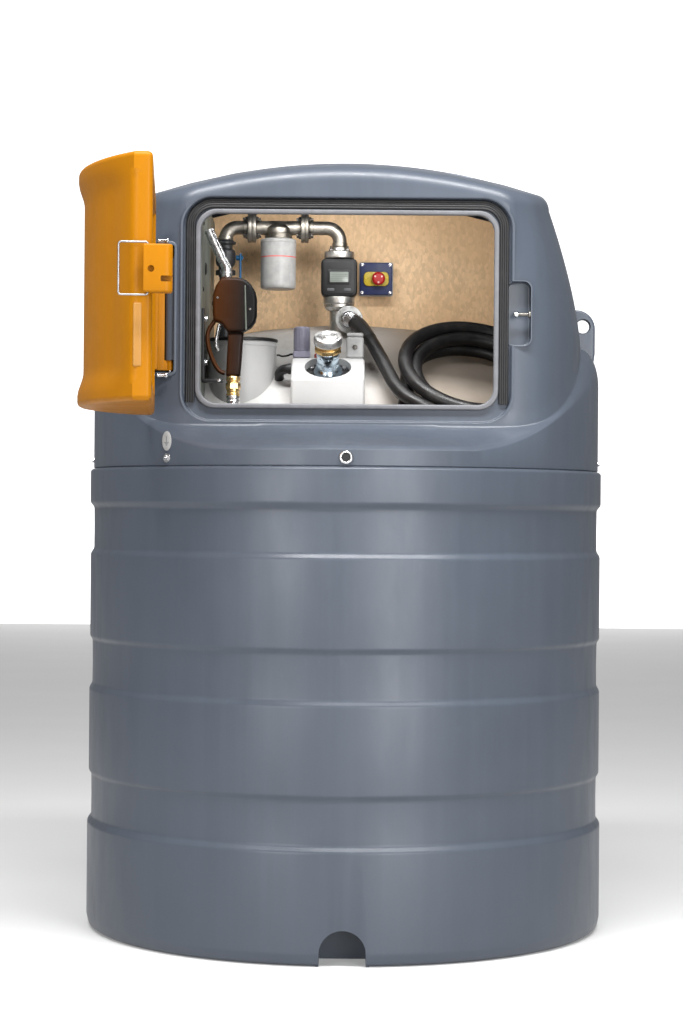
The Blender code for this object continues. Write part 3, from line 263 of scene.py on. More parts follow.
class Shape:
    """A mesh in the making: each call adds a closed solid to it."""

    def __init__(self, mesh=None):
        self.mesh = bmesh.new() if mesh is None else mesh

    def add(self, part, place=None):
        """Takes in another bmesh, put in its place."""
        bmesh.ops.remove_doubles(part, verts=part.verts, dist=0.000004)
        bmesh.ops.recalc_face_normals(part, faces=part.faces)
        if place is not None:
            bmesh.ops.transform(part, matrix=place, verts=part.verts)
            if place.determinant() < 0:
                bmesh.ops.reverse_faces(part, faces=part.faces)
        held = bpy.data.meshes.new("held")
        part.to_mesh(held)
        part.free()
        self.mesh.from_mesh(held)
        bpy.data.meshes.remove(held)
        return self

    def turn(self, profile, foot=(0, 0, 0), axis=UP, steps=48, soft=0.0, closed=False):
        """A solid turned from (radius, height) points, closed at the axis, or a ring where closed is set."""
        part = bmesh.new()
        if not closed and profile[0][0]:
            profile = [(0, profile[0][1]), *profile]
        if not closed:
            profile = [*profile, (0, profile[-1][1])]
        points = soften(profile, soft, closed) if soft else profile
        verts = [part.verts.new((r, 0, z)) for r, z in points]
        edges = [part.edges.new(pair) for pair in zip(verts, verts[1:])]
        if closed:
            edges.append(part.edges.new((verts[-1], verts[0])))
        bmesh.ops.spin(part, geom=verts + edges, cent=(0, 0, 0), axis=UP, angle=2 * pi, steps=steps,
                       use_merge=True)
        return self.add(part, aimed(foot, axis))

    def rod(self, radius, length, foot, axis=UP, steps=48, soft=0.0):
        """A round bar from its foot."""
        return self.turn([(radius, length), (radius, 0)], foot, axis, steps, soft)

    def block(self, low, high, soft=0.0, segments=3, place=None):
        """A box with round edges."""
        part = bmesh.new()
        bmesh.ops.create_cube(part, size=1)
        size = Vector(high) - Vector(low)
        middle = (Vector(high) + Vector(low)) / 2
        stretch = Matrix.Translation(middle) @ Matrix.Diagonal((*size, 1))
        bmesh.ops.transform(part, matrix=stretch, verts=part.verts)
        if soft:
            bevel(part, part.edges[:], soft, segments)
        return self.add(part, place)

    def plate(self, points, thickness, at=(0, 0, 0), axis="Y", soft=0.0, segments=3, place=None):
        """An outline given thickness on both sides: drawn in XZ for Y, XY for Z, YZ for X."""
        part = bmesh.new()
        bottom = [part.verts.new((x, z, -thickness / 2)) for x, z in points]
        made = bmesh.ops.contextual_create(part, geom=bottom)
        grown = bmesh.ops.extrude_face_region(part, geom=made["faces"])
        verts = [v for v in grown["geom"] if isinstance(v, bmesh.types.BMVert)]
        bmesh.ops.translate(part, verts=verts, vec=(0, 0, thickness))
        if len(part.faces) == len(points) + 1:
            bmesh.ops.contextual_create(part, geom=[v for v in part.verts if v.co.z < 0])
        bmesh.ops.recalc_face_normals(part, faces=part.faces)
        if soft:
            rims = [e for e in part.edges if abs(e.verts[0].co.z - e.verts[1].co.z) < thickness / 2]
            bevel(part, rims, soft, segments)
        turns = {"Y": Matrix.Rotation(pi / 2, 4, "X"), "Z": Matrix.Identity(4),
                 "X": Matrix.Rotation(pi / 2, 4, "Z") @ Matrix.Rotation(pi / 2, 4, "X")}
        stood = Matrix.Translation(Vector(at)) @ turns[axis]
        return self.add(part, place @ stood if place else stood)

    def tablet(self, box, radius, y, thickness, soft=0.0, segments=3, steps=5):
        """A plate that faces the front, with round corners: box is its left, right, bottom and top."""
        return self.plate(rounded_rectangle(*box, radius, steps), thickness, (0, y, 0), "Y", soft, segments)

    def pipe(self, points, radius, sides=16, place=None):
        """A round bar or tube that follows points, with closed ends."""
        spots = [Vector(p) for p in points]
        part = bmesh.new()
        heading = (spots[1] - spots[0]).normalized()
        side = heading.orthogonal().normalized()
        loops = []
        for i, spot in enumerate(spots):
            before = spots[max(i - 1, 0)]
            after = spots[min(i + 1, len(spots) - 1)]
            turned = (after - before).normalized()
            side = (heading.rotation_difference(turned) @ side).normalized()
            heading = turned
            width = radius(i / (len(spots) - 1)) if callable(radius) else radius
            ring = bmesh.ops.create_circle(part, segments=sides, radius=width)["verts"]
            across = heading.cross(side)
            for vert in ring:
                vert.co = spot + side * vert.co.x + across * vert.co.y
            loops.append(list(dict.fromkeys(e for v in ring for e in v.link_edges)))
        for low, high in zip(loops, loops[1:]):
            bmesh.ops.bridge_loops(part, edges=low + high)
        bmesh.ops.holes_fill(part, edges=[e for e in part.edges if e.is_boundary], sides=sides)
        return self.add(part, place)

    def bolt(self, foot, axis, across=0.011, height=0.006, washer=True):
        """A hexagon head on its washer."""
        base = 0.0012 if washer else 0.0
        if washer:
            self.rod(across * 0.95, base, foot, axis, 20, 0.0003)
        head = circle(0, 0, across / sqrt(3), 6)
        return self.plate(head, height, (0, 0, base + height / 2), "Z", across * 0.06, 2, aimed(foot, axis))

    def bolts_round(self, middle, axis, radius, count, across, height, turn=0.0):
        """Hexagon heads round a flange."""
        seat = aimed(middle, axis)
        for x, y in circle(0, 0, radius, count, turn):
            self.bolt(seat @ Vector((x, y, 0)), axis, across, height, False)
        return self

    def move(self, matrix):
        """Moves the whole shape."""
        bmesh.ops.transform(self.mesh, matrix=matrix, verts=self.mesh.verts)
        return self

    def take(self, thing):
        """Takes the mesh that an object's modifiers make, and removes the object."""
        bpy.context.view_layer.update()
        graph = bpy.context.evaluated_depsgraph_get()
        result = bpy.data.meshes.new_from_object(thing.evaluated_get(graph))
        self.mesh = bmesh.new()
        self.mesh.from_mesh(result)
        bpy.data.meshes.remove(result)
        discard(thing)
        return self

    def carve(self, other, operation="DIFFERENCE"):
        """Cuts another shape out of this one."""
        whole = self.object("whole")
        tool = other.object("tool")
        step = whole.modifiers.new("cut", "BOOLEAN")
        step.operation = operation
        step.solver = "EXACT"
        step.object = tool
        self.take(whole)
        discard(tool)
        return self

    def join(self, other):
        """Joins another shape on to this one."""
        return self.carve(other, "UNION")

    def object(self, name):
        """The mesh as an object of the scene."""
        mesh = bpy.data.meshes.new(name)
        self.mesh.to_mesh(mesh)
        self.mesh.free()
        thing = bpy.data.objects.new(name, mesh)
        bpy.context.scene.collection.objects.link(thing)
        return thing

    def piece(self, name, finish, slot, *nodes, body="tank", sharp=38):
        """The finished piece: painted, riding on its body and standing for CAD nodes."""
        thing = self.object(name)
        thing.data.shade_smooth()
        thing.data.set_sharp_from_angle(angle=radians(sharp))
        thing.data.materials.append(bpy.data.materials[finish] if isinstance(finish, str) else finish)
        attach(thing, body)
        if nodes:
            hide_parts(*nodes)
        return thing


class Finish:
    """A Principled material with helpers for its pattern nodes."""

    def __init__(self, name, colour, roughness, metallic=0.0, coat=0.0, specular=0.5):
        self.material = bpy.data.materials.new(name)
        self.material.use_nodes = True
        self.tree = self.material.node_tree
        self.shader = self.tree.nodes["Principled BSDF"]
        self.shader.inputs["Base Color"].default_value = (*colour, 1.0)
        self.shader.inputs["Roughness"].default_value = roughness
        self.shader.inputs["Metallic"].default_value = metallic
        self.shader.inputs["Coat Weight"].default_value = coat
        self.shader.inputs["Specular IOR Level"].default_value = specular
        self.where = self.tree.nodes.new("ShaderNodeTexCoord").outputs["Object"]

    def node(self, kind, **values):
        """A new node, with its properties and unlinked inputs set."""
        made = self.tree.nodes.new(kind)
        for key, value in values.items():
            if key in made.inputs:
                made.inputs[key].default_value = value
            else:
                setattr(made, key, value)
        return made

    def link(self, start, end):
        """Joins two sockets."""
        self.tree.links.new(start, end)

    def noise(self, scale, detail=4.0, rough=0.55, stretch=(1, 1, 1), shift=(0, 0, 0)):
        """A noise on object coordinates, stretched along the axes."""
        place = self.node("ShaderNodeMapping", Scale=stretch, Location=shift)
        self.link(self.where, place.inputs["Vector"])
        made = self.node("ShaderNodeTexNoise", Scale=scale, Detail=detail, Roughness=rough)
        self.link(place.outputs["Vector"], made.inputs["Vector"])
        return made.outputs["Fac"]

    def spread(self, source, low, high, start=0.0, end=1.0):
        """Maps a value from one range to another."""
        made = self.tree.nodes.new("ShaderNodeMapRange")
        made.inputs["From Min"].default_value = low
        made.inputs["From Max"].default_value = high
        made.inputs["To Min"].default_value = start
        made.inputs["To Max"].default_value = end
        self.link(source, made.inputs["Value"])
        return made.outputs["Result"]

    def mix(self, factor, first, second):
        """Mixes two colours, each a socket or a value."""
        made = self.node("ShaderNodeMix", data_type="RGBA")
        self.link(factor, made.inputs[0])
        for source, end in ((first, made.inputs[6]), (second, made.inputs[7])):
            if isinstance(source, bpy.types.NodeSocket):
                self.link(source, end)
            else:
                end.default_value = (*source, 1.0)
        return made.outputs[2]

    def colour(self, source):
        """Sends a colour to the shader."""
        self.link(source, self.shader.inputs["Base Color"])

    def roughness(self, source):
        """Sends a roughness to the shader."""
        self.link(source, self.shader.inputs["Roughness"])

    def glow(self, strength):
        """Gives off white light."""
        self.shader.inputs["Emission Color"].default_value = (1, 1, 1, 1)
        self.shader.inputs["Emission Strength"].default_value = strength

    def relief(self, source, distance, strength=1.0, under=None):
        """Adds a bump in metres, over an earlier one."""
        made = self.node("ShaderNodeBump", Strength=strength, Distance=distance)
        self.link(source, made.inputs["Height"])
        if under is not None:
            self.link(under, made.inputs["Normal"])
        self.link(made.outputs["Normal"], self.shader.inputs["Normal"])
        return made.outputs["Normal"]

    def axis(self, name):
        """One of the object coordinates."""
        made = self.node("ShaderNodeSeparateXYZ")
        self.link(self.where, made.inputs["Vector"])
        return made.outputs[name]


def shade(colour, factor):
    """A colour made lighter or darker."""
    return tuple(min(1.0, c * factor) for c in colour)


def moulded(name, colour, rough=0.40, vary=0.08, grain=0.00022, scale=5.0, streak=0.5):
    """Rotomoulded plastic: soft cloudy colour, faint streaks and a fine orange-peel skin."""
    made = Finish(name, colour, rough, specular=0.12)
    cloud = made.noise(scale, 5, 0.6)
    first = made.mix(made.spread(cloud, 0.3, 0.7), shade(colour, 1 - vary), shade(colour, 1 + vary))
    streaks = made.noise(26, 3, 0.6, (1, 1, 0.05))
    second = made.mix(made.spread(streaks, 0.42, 0.75, 0, streak), first, shade(colour, 1 + 2.2 * vary))
    made.colour(second)
    patch = made.noise(14, 6, 0.65, shift=(3, 1, 2))
    made.roughness(made.spread(patch, 0.3, 0.7, rough - 0.05, rough + 0.07))
    peel = made.noise(520, 2, 0.5)
    soft = made.relief(made.noise(34, 3, 0.5), 0.0006, 0.35)
    made.relief(peel, grain, 0.6, soft)
    return made.material


def slate(look):
    """The bund's and the hood's grey plastic, with painted shade low down and fine pale specks."""
    base = tuple(look.tank_colour)
    made = Finish("slate_plastic", base, 0.36, specular=0.35)
    cloud = made.noise(3.2, 5, 0.6)
    first = made.mix(made.spread(cloud, 0.3, 0.7), shade(base, 0.94), shade(base, 1.06))
    streaks = made.noise(30, 4, 0.62, (1, 1, 0.03))
    second = made.mix(made.spread(streaks, 0.46, 0.72, 0, 0.35), first, shade(base, 1.22))
    rub = made.noise(60, 6, 0.7, (1, 1, 0.35), (5, 2, 0))
    third = made.mix(made.spread(rub, 0.60, 0.78, 0, 0.30), second, shade(base, 1.45))
    # painted shade: the colour darkens towards the ground, up to 0.3 m high
    low = made.spread(made.axis("Z"), 0.02, 0.30, 0.30, 0.0)
    made.colour(made.mix(low, third, shade(base, 0.82)))
    patch = made.noise(18, 5, 0.65, (1, 1, 0.3), (3, 1, 2))
    made.roughness(made.spread(patch, 0.3, 0.7, 0.30, 0.42))
    soft = made.relief(made.noise(22, 3, 0.5, (1, 1, 0.5)), 0.0009, 0.4)
    made.relief(made.noise(480, 2, 0.5), 0.00022, 0.5, soft)
    return made.material


def natural():
    """The inner tank's undyed milky plastic."""
    made = Finish("milky_plastic", (0.86, 0.85, 0.82), 0.42)
    made.shader.inputs["Subsurface Weight"].default_value = 0.15
    made.shader.inputs["Subsurface Radius"].default_value = (0.02, 0.018, 0.015)
    made.shader.inputs["Subsurface Scale"].default_value = 0.3
    cloud = made.noise(6, 5, 0.6)
    tint = made.mix(made.spread(cloud, 0.32, 0.68), (0.35, 0.348, 0.344), (0.40, 0.397, 0.392))
    grime = made.noise(38, 6, 0.7)
    made.colour(made.mix(made.spread(grime, 0.62, 0.85, 0, 0.5), tint, (0.62, 0.58, 0.52)))
    made.roughness(made.spread(cloud, 0.3, 0.7, 0.36, 0.50))
    made.relief(made.noise(260, 2, 0.5), 0.0003, 0.5)
    return made.material


def aged_and_shaded_plastic():
    """The inner tank's top: the same plastic gone grey, with painted shade making it darker and brown towards
    its right, and darker patches at random.
    """
    made = Finish("aged_and_shaded_plastic", (0.40, 0.39, 0.37), 0.46)
    cloud = made.noise(9, 5, 0.65)
    # painted shade: the colour turns darker and browner towards the right
    side = made.spread(made.axis("X"), -0.02, 0.16)
    tint = made.mix(side, (0.46, 0.455, 0.445), (0.20, 0.165, 0.130))
    made.colour(made.mix(made.spread(cloud, 0.40, 0.75, 0, 0.6), tint, (0.26, 0.225, 0.19)))
    made.roughness(made.spread(cloud, 0.3, 0.7, 0.40, 0.56))
    made.relief(made.noise(260, 2, 0.5), 0.0003, 0.5)
    return made.material


def tinted(colour, red, green, blue):
    """A colour with each of its channels scaled."""
    return (colour[0] * red, colour[1] * green, colour[2] * blue)


def board(look):
    """Chipboard: pressed flakes in tans, fine dark specks, and painted shade that turns it brown towards its
    top and right edge.
    """
    base = tuple(look.board_colour)
    made = Finish("chipboard", base, 0.62)
    flakes = made.node("ShaderNodeTexVoronoi", Scale=150.0, Randomness=1.0)
    bent = made.node("ShaderNodeMapping", Scale=(1, 1, 0.55))
    made.link(made.where, bent.inputs["Vector"])
    made.link(bent.outputs["Vector"], flakes.inputs["Vector"])
    tone = made.node("ShaderNodeSeparateColor")
    made.link(flakes.outputs["Color"], tone.inputs["Color"])
    first = made.mix(tone.outputs["Red"], shade(base, 0.84), shade(base, 1.16))
    fine = made.noise(230, 5, 0.7, shift=(1, 4, 2))
    second = made.mix(made.spread(fine, 0.55, 0.75, 0, 0.55), first, shade(base, 0.55))
    broad = made.noise(7, 4, 0.6, shift=(2, 2, 7))
    third = made.mix(made.spread(broad, 0.35, 0.7, 0, 0.4), second, tinted(base, 0.85, 0.74, 0.60))
    # painted shade: darker and browner towards the right edge
    edge = made.spread(made.axis("X"), 0.10, 0.42, 0.0, 0.55)
    fourth = made.mix(edge, third, tinted(base, 0.66, 0.56, 0.42))
    # painted shade: darker and browner towards the top
    high = made.spread(made.axis("Z"), 1.66, 1.80, 0.0, 0.40)
    made.colour(made.mix(high, fourth, tinted(base, 0.62, 0.52, 0.40)))
    made.relief(fine, 0.0004, 0.5)
    return made.material


def rubber(name, colour, rough):
    """Black rubber with a cloth-wrapped skin and dusty patches."""
    made = Finish(name, colour, rough, specular=0.3)
    dust = made.noise(42, 6, 0.68)
    made.colour(made.mix(made.spread(dust, 0.50, 0.80, 0, 0.6), colour, (0.030, 0.027, 0.024)))
    made.roughness(made.spread(dust, 0.35, 0.7, rough - 0.10, rough + 0.18))
    made.relief(made.noise(420, 3, 0.6), 0.0003, 0.6)
    return made.material


def ribbed_rubber():
    """The hose: its wrap shows as fine turns along its length."""
    pitch = 0.006
    made = Finish("wrapped_hose", (0.016, 0.015, 0.015), 0.38, specular=0.35)
    along = made.node("ShaderNodeUVMap", uv_map="along")
    part = made.node("ShaderNodeSeparateXYZ")
    made.link(along.outputs["UV"], part.inputs["Vector"])
    turns = made.node("ShaderNodeMath", operation="MULTIPLY")
    turns.inputs[1].default_value = 2 * pi / pitch
    made.link(part.outputs["X"], turns.inputs[0])
    wave = made.node("ShaderNodeMath", operation="SINE")
    made.link(turns.outputs["Value"], wave.inputs[0])
    dust = made.noise(36, 6, 0.68)
    patches = made.spread(dust, 0.52, 0.82, 0, 0.6)
    made.colour(made.mix(patches, (0.008, 0.0075, 0.0075), (0.034, 0.030, 0.026)))
    made.roughness(made.spread(dust, 0.35, 0.7, 0.30, 0.55))
    ribs = made.relief(made.spread(wave.outputs["Value"], -1, 1), 0.00035, 0.6)
    made.relief(made.noise(300, 3, 0.6), 0.0003, 0.5, ribs)
    return made.material


def plastic(name, colour, rough=0.35, coat=0.0):
    """Injection-moulded plastic with a fine spark-eroded grain."""
    made = Finish(name, colour, rough, coat=coat, specular=0.35)
    cloud = made.noise(45, 5, 0.65)
    made.colour(made.mix(made.spread(cloud, 0.4, 0.75), shade(colour, 0.92), shade(colour, 1.18)))
    made.roughness(made.spread(cloud, 0.3, 0.7, rough - 0.06, rough + 0.10))
    made.relief(made.noise(900, 2, 0.5), 0.00012, 0.6)
    return made.material


def nozzle_plastic():
    """The nozzle's black guard, warm brown on its left."""
    made = Finish("nozzle_black", (0.006, 0.005, 0.004), 0.40, specular=0.12)
    side = made.spread(made.axis("X"), -0.315, -0.243, 1.0, 0.0)
    low = made.mix(side, (0.003, 0.003, 0.0032), (0.040, 0.012, 0.002))
    wear = made.noise(70, 6, 0.7)
    made.colour(made.mix(made.spread(wear, 0.62, 0.84, 0, 0.35), low, (0.06, 0.052, 0.045)))
    made.roughness(made.spread(wear, 0.3, 0.7, 0.34, 0.52))
    made.relief(made.noise(650, 3, 0.5), 0.0002, 0.5)
    return made.material


def metal(name, colour, rough, vary, scale, bump=0.0003, dirt=None, dirt_from=0.55):
    """Metal with patchy tone, uneven polish and, where dirt is given, stains."""
    made = Finish(name, colour, rough, 1.0)
    cloud = made.noise(scale, 6, 0.65)
    tint = made.mix(made.spread(cloud, 0.3, 0.7), shade(colour, 1 - vary), shade(colour, 1 + vary))
    if dirt:
        stain = made.noise(scale * 1.7, 6, 0.7, shift=(4, 2, 1))
        tint = made.mix(made.spread(stain, dirt_from, dirt_from + 0.22, 0, 0.85), tint, dirt)
        made.link(made.spread(stain, dirt_from, dirt_from + 0.22, 1.0, 0.25), made.shader.inputs["Metallic"])
    made.colour(tint)
    made.roughness(made.spread(cloud, 0.3, 0.7, max(rough - 0.10, 0.05), rough + 0.14))
    made.relief(made.noise(scale * 9, 4, 0.6), bump, 0.5)
    return made.material


def panel_paint():
    """The side panel: grey-green sheet, cloudy, with near-black streaks at random."""
    made = Finish("streaked_panel", (0.30, 0.34, 0.30), 0.48)
    cloud = made.noise(14, 6, 0.7, (1, 1, 0.6))
    first = made.mix(made.spread(cloud, 0.35, 0.68), (0.07, 0.082, 0.072), (0.19, 0.21, 0.185))
    dark_streaks = made.noise(90, 5, 0.7, (1, 1, 0.3))
    made.colour(made.mix(made.spread(dark_streaks, 0.6, 0.8, 0, 0.5), first, (0.05, 0.05, 0.045)))
    made.relief(dark_streaks, 0.0003, 0.5)
    return made.material


def glass_window():
    """The meter's grey liquid-crystal window."""
    made = Finish("display_window", (0.16, 0.18, 0.16), 0.2)
    rows = made.node("ShaderNodeTexWave", Scale=60.0, Distortion=0.0, bands_direction="Z")
    made.link(made.where, rows.inputs["Vector"])
    bands = made.spread(rows.outputs["Fac"], 0.2, 0.8, 0, 0.35)
    made.colour(made.mix(bands, (0.15, 0.17, 0.15), (0.22, 0.24, 0.215)))
    made.relief(made.noise(300, 2, 0.5), 0.00005, 0.3)
    return made.material


def floor_finish():
    """The pale studio floor."""
    made = Finish("studio_floor", (0.5, 0.5, 0.5), 0.8)
    cloud = made.noise(1.5, 3, 0.5)
    made.colour(made.mix(made.spread(cloud, 0.3, 0.7), (0.49, 0.49, 0.49), (0.51, 0.51, 0.51)))
    made.glow(0.20)
    return made.material


def backdrop_finish():
    """The white paper of the backdrop."""
    made = Finish("backdrop_paper", (0.9, 0.9, 0.9), 0.8)
    made.glow(1.0)
    return made.material


# The hose: its coil, and the lengths that lead to it from the outlet and on to the nozzle
COIL_CENTRE = Vector((0.312, -0.222, 1.372))
COIL_ACROSS = Vector((0.984, 0.0, -0.180)).normalized()
COIL_BACK = Vector((0.110, 0.785, 0.600)).normalized()
HOSE_EXIT = (0.021, -0.086, 1.518)
HOSE_LEAD = [HOSE_EXIT, (0.034, -0.113, 1.505), (0.049, -0.145, 1.484), (0.066, -0.182, 1.455),
             (0.084, -0.222, 1.421), (0.101, -0.262, 1.385), (0.119, -0.300, 1.350), (0.146, -0.328, 1.322),
             (0.180, -0.348, 1.302)]
HOSE_RETURN = [(0.139, -0.296, 1.296), (0.119, -0.343, 1.238), (0.088, -0.385, 1.190),
               (0.045, -0.418, 1.145), (-0.008, -0.440, 1.112), (-0.066, -0.449, 1.102),
               (-0.122, -0.446, 1.118), (-0.1735, -0.4319, 1.146), (-0.2080, -0.406, 1.163),
               (-0.2380, -0.376, 1.188), (-0.2595, -0.353, 1.222), (-0.2705, -0.3425, 1.256),
               (-0.2735, -0.3401, 1.2797), (-0.2735, NOZZLE_Y, 1.2917)]


def hose_route(look):
    """The hose's centreline: from the outlet, in three turns wound about each other, to the nozzle."""
    upright = COIL_ACROSS.cross(COIL_BACK)
    start = 247
    end = 201 + 3 * 360
    first_place = 15
    last_place = 251
    twist = (last_place - first_place) / (end - start)
    pack = look.diameter * 0.775
    coil = []
    for turn in range(start, end, 12):
        a = radians(turn)
        b = radians(first_place + twist * (turn - start))
        out = look.ring_radius + pack * cos(b)
        coil.append(COIL_CENTRE + (COIL_ACROSS * cos(a) + COIL_BACK * sin(a)) * out + upright * pack * sin(b))
    return smooth_line(HOSE_LEAD + coil + HOSE_RETURN, 0.012)


def hose_mesh(route, radius, sides=20):
    """The hose as a tube whose UV map runs along it in metres."""
    shape = Shape()
    shape.pipe(route, radius, sides)
    along = [0.0]
    for a, b in zip(route, route[1:]):
        along.append(along[-1] + (b - a).length)
    layer = shape.mesh.loops.layers.uv.new("along")
    shape.mesh.verts.index_update()
    for face in shape.mesh.faces:
        for loop in face.loops:
            ring = min(loop.vert.index // sides, len(route) - 1)
            loop[layer].uv = (along[ring], 0.0)
    return shape, along[-1]



class TANK_OT_stage(bpy.types.Operator):
    """Sets the pale floor, the backdrop, the studio lights and the camera"""
    bl_idname = "tank.stage"
    bl_label = "Stage"

    def execute(self, context):
        scene = context.scene
        scene.view_settings.view_transform = "Standard"
        self.sheet("floor", floor_finish(), 30, 8, Matrix.Identity(4))
        upright = Matrix.Translation((0, 16, 3.2)) @ Matrix.Rotation(pi / 2, 4, "X")
        self.sheet("backdrop", backdrop_finish(), 4.2, 4, upright)
        self.world(scene)
        middle = (0, 0, 1.0)
        self.lamp("key", (1.9, -5.0, 1.5), middle, 1.8, 3.0, 170)
        self.lamp("fill", (-2.5, -5.0, 1.6), middle, 1.8, 2.6, 110)
        self.lamp("top", (0, -2.3, 4.8), middle, 5.0, 0.6, 560)
        self.lamp("cabinet", (0.03, -0.30, 1.845), (0.05, 0.19, 1.50), 0.55, 0.06, 2.4)
        self.camera(scene)
        return {"FINISHED"}

    def sheet(self, name, finish, size, segments, place):
        """A flat sheet of the studio, divided into segments each way."""
        mesh = bmesh.new()
        bmesh.ops.create_grid(mesh, x_segments=segments, y_segments=segments, size=size, matrix=place)
        thing = Shape(mesh).object(name)
        thing.data.materials.append(finish)

    def world(self, scene):
        """An even pale surround."""
        world = bpy.data.worlds.new("studio")
        world.use_nodes = True
        ground = world.node_tree.nodes["Background"]
        ground.inputs["Color"].default_value = (1.0, 1.0, 1.0, 1.0)
        ground.inputs["Strength"].default_value = 0.25
        scene.world = world

    def lamp(self, name, place, aim, width, height, power):
        """A soft rectangular lamp aimed at a point."""
        light = bpy.data.lights.new(name, "AREA")
        light.shape = "RECTANGLE"
        light.size = width
        light.size_y = height
        light.energy = power
        thing = bpy.data.objects.new(name, light)
        thing.location = place
        thing.rotation_euler = (Vector(aim) - Vector(place)).to_track_quat("-Z", "Y").to_euler()
        bpy.context.scene.collection.objects.link(thing)

    def camera(self, scene):
        """A level camera in front of the tank, rolled a trifle as the photographer's was."""
        look = scene.stage_look
        camera = bpy.data.objects.new("camera", bpy.data.cameras.new("camera"))
        camera.location = (0, -look.distance, look.height)
        camera.rotation_euler = (pi / 2, radians(-0.45), 0)
        camera.data.shift_x = -0.004
        camera.data.lens = look.lens
        camera.data.sensor_width = 36
        camera.data.clip_end = 60
        scene.collection.objects.link(camera)
        scene.camera = camera


class TANK_OT_hose(bpy.types.Operator):
    """Builds the coiled delivery hose with its ferrules"""
    bl_idname = "tank.hose"
    bl_label = "Delivery hose"

    def execute(self, context):
        look = context.scene.hose_look
        route = hose_route(look)
        shape, length = hose_mesh(route, look.diameter / 2)
        hose = shape.piece("delivery_hose", ribbed_rubber(), "black_rubber",
                           "hose_lead", "hose_return", "hose_coil")
        self.tail(route)
        sleeve = self.sleeve(route)
        return {"FINISHED"}

    def tail(self, route):
        """The swivel tail and crimped ferrule at the outlet."""
        out = (route[0] - route[1]).normalized()
        shape = Shape()
        shape.turn([(0.016, 0.0155), (0.020, 0.012), (0.022, 0.004), (0.022, 0)],
                   (OUTLET[0], -0.0526, OUTLET[1]), FRONT, 32, 0.0012)
        crimps = [(0.0195, 0.001)]
        for i in range(3):
            z = 0.006 + i * 0.007
            crimps += [(0.0195, z), (0.0183, z + 0.0012), (0.0183, z + 0.0030), (0.0195, z + 0.0042)]
        crimps += [(0.0195, 0.028), (0.014, 0.030)]
        shape.turn(crimps[::-1], route[0], out, 32, 0.0005)
        steel = metal("tail_steel", (0.62, 0.62, 0.63), 0.22, 0.2, 60, dirt=(0.12, 0.11, 0.1), dirt_from=0.6)
        shape.piece("hose_tail_fitting", steel, "bright_steel", "hose_tail")

    def sleeve(self, route):
        """The bend sleeve over the hose where it leaves the outlet, tapering along it."""
        sleeve_start = 0.004
        sleeve_end = 0.088
        stretch = []
        run = 0.0
        for a, b in zip(route, route[1:]):
            run += (b - a).length
            if run > sleeve_start:
                stretch.append(b)
            if run > sleeve_end:
                break
        shape = Shape().pipe(stretch, lambda t: 0.0200 - 0.0022 * t, 24)
        return shape.piece("hose_sleeve", rubber("sleeve_rubber", (0.02, 0.019, 0.019), 0.35), "black_rubber")


def bund_profile():
    """The bund's outside, top to bottom, then its straight inside."""
    top = 1.1467
    inside = 0.626
    outer = [(0.640, top), (0.647, top - 0.005), (0.647, 1.062), (0.6372, 1.050),
             (0.6366, 0.997), (0.637, 0.947), (0.6455, 0.934), (0.6455, 0.7265), (0.6393, 0.7185),
             (0.6385, 0.662), (0.639, 0.609), (0.6465, 0.596), (0.6465, 0.390), (0.6400, 0.382),
             (0.6393, 0.328), (0.6398, 0.276), (BUND_R - 0.0002, 0.262), (BUND_R - 0.0002, 0.030),
             (0.645, 0.008), (0.630, 0.0)]
    return outer + [(inside, 0.0), (inside, top)]


def arch(grow, foot):
    """The outline of the notch in the bund's foot."""
    half = 0.054 + grow
    spring = 0.031
    points = [(-half, foot), (half, foot)]
    for i in range(25):
        angle = pi * i / 24
        points.append((half * cos(angle), spring + half * sin(angle)))
    return points


class TANK_OT_bund(bpy.types.Operator):
    """Builds the banded outer tank with its arched notch"""
    bl_idname = "tank.bund"
    bl_label = "Bund"

    def execute(self, context):
        steps = context.scene.tank_look.round_steps
        wall = Shape().turn(bund_profile(), steps=steps, soft=0.0045, closed=True)
        wall.join(Shape().plate(arch(0.008, 0.0), 0.110, (0, -0.577, 0)))
        wall.carve(Shape().plate(arch(0.0, -0.01), 0.150, (0, -0.605, 0)))
        self.soften_notch(wall.mesh)
        wall.piece("banded_bund", "slate_plastic", "slate_polyethylene", "bund_wall", sharp=32)
        repaint("bund_floor", "slate_plastic")
        return {"FINISHED"}

    def soften_notch(self, mesh):
        """Rounds the rim that the notch cuts in the wall."""
        rim = []
        for edge in creases(mesh, 50):
            middle = (edge.verts[0].co + edge.verts[1].co) / 2
            if abs(middle.x) < 0.056 and middle.y < -0.640 and 0.004 < middle.z < 0.088:
                rim.append(edge)
        bevel(mesh, rim, 0.0025, 3, True)


def roof(x, y):
    """Height of the hood's roof."""
    return 1.915 - x * x / 2.9 - y * y / 3.2


def oval(across, along, half, depth, power):
    """Distance from the middle to the edge of a squarish oval, in the direction across, along."""
    return ((across / half) ** power + (along / depth) ** power) ** (-1 / power)


def cabin_radius(angle, z):
    """Distance from the axis to the cabin's side, at an angle from +X and a height."""
    u = min(max((z - 1.450) / 0.388, 0.0), 1.0)
    half = 0.587 - 0.104 * u ** 1.4
    across = abs(cos(angle))
    along = abs(sin(angle))
    if sin(angle) < 0:
        round_r = oval(across, along, half, 0.52, 3.5)
        flat_r = -FACE_Y / max(along, 0.001)
        blend = sum(r ** -CABIN_BLEND for r in (round_r, flat_r, CABIN_CAP_R)) ** (-1 / CABIN_BLEND)
        side = smooth_step(min(round_r, flat_r) * across, 0.37, 0.43)
        reach = min(round_r, flat_r) * (1 - side) + blend * side
    else:
        round_r = oval(across, along, half, half, 2.3)
        reach = sum(r ** -CABIN_BLEND for r in (round_r, CABIN_CAP_R)) ** (-1 / CABIN_BLEND)
    return min(reach, SKIRT_R - 0.001)


def arched(x, z):
    """The opening's rims are a little arched at the top."""
    return z - 0.0125 * (x / 0.36) ** 2 * smooth_step(z, 1.55, 1.78)


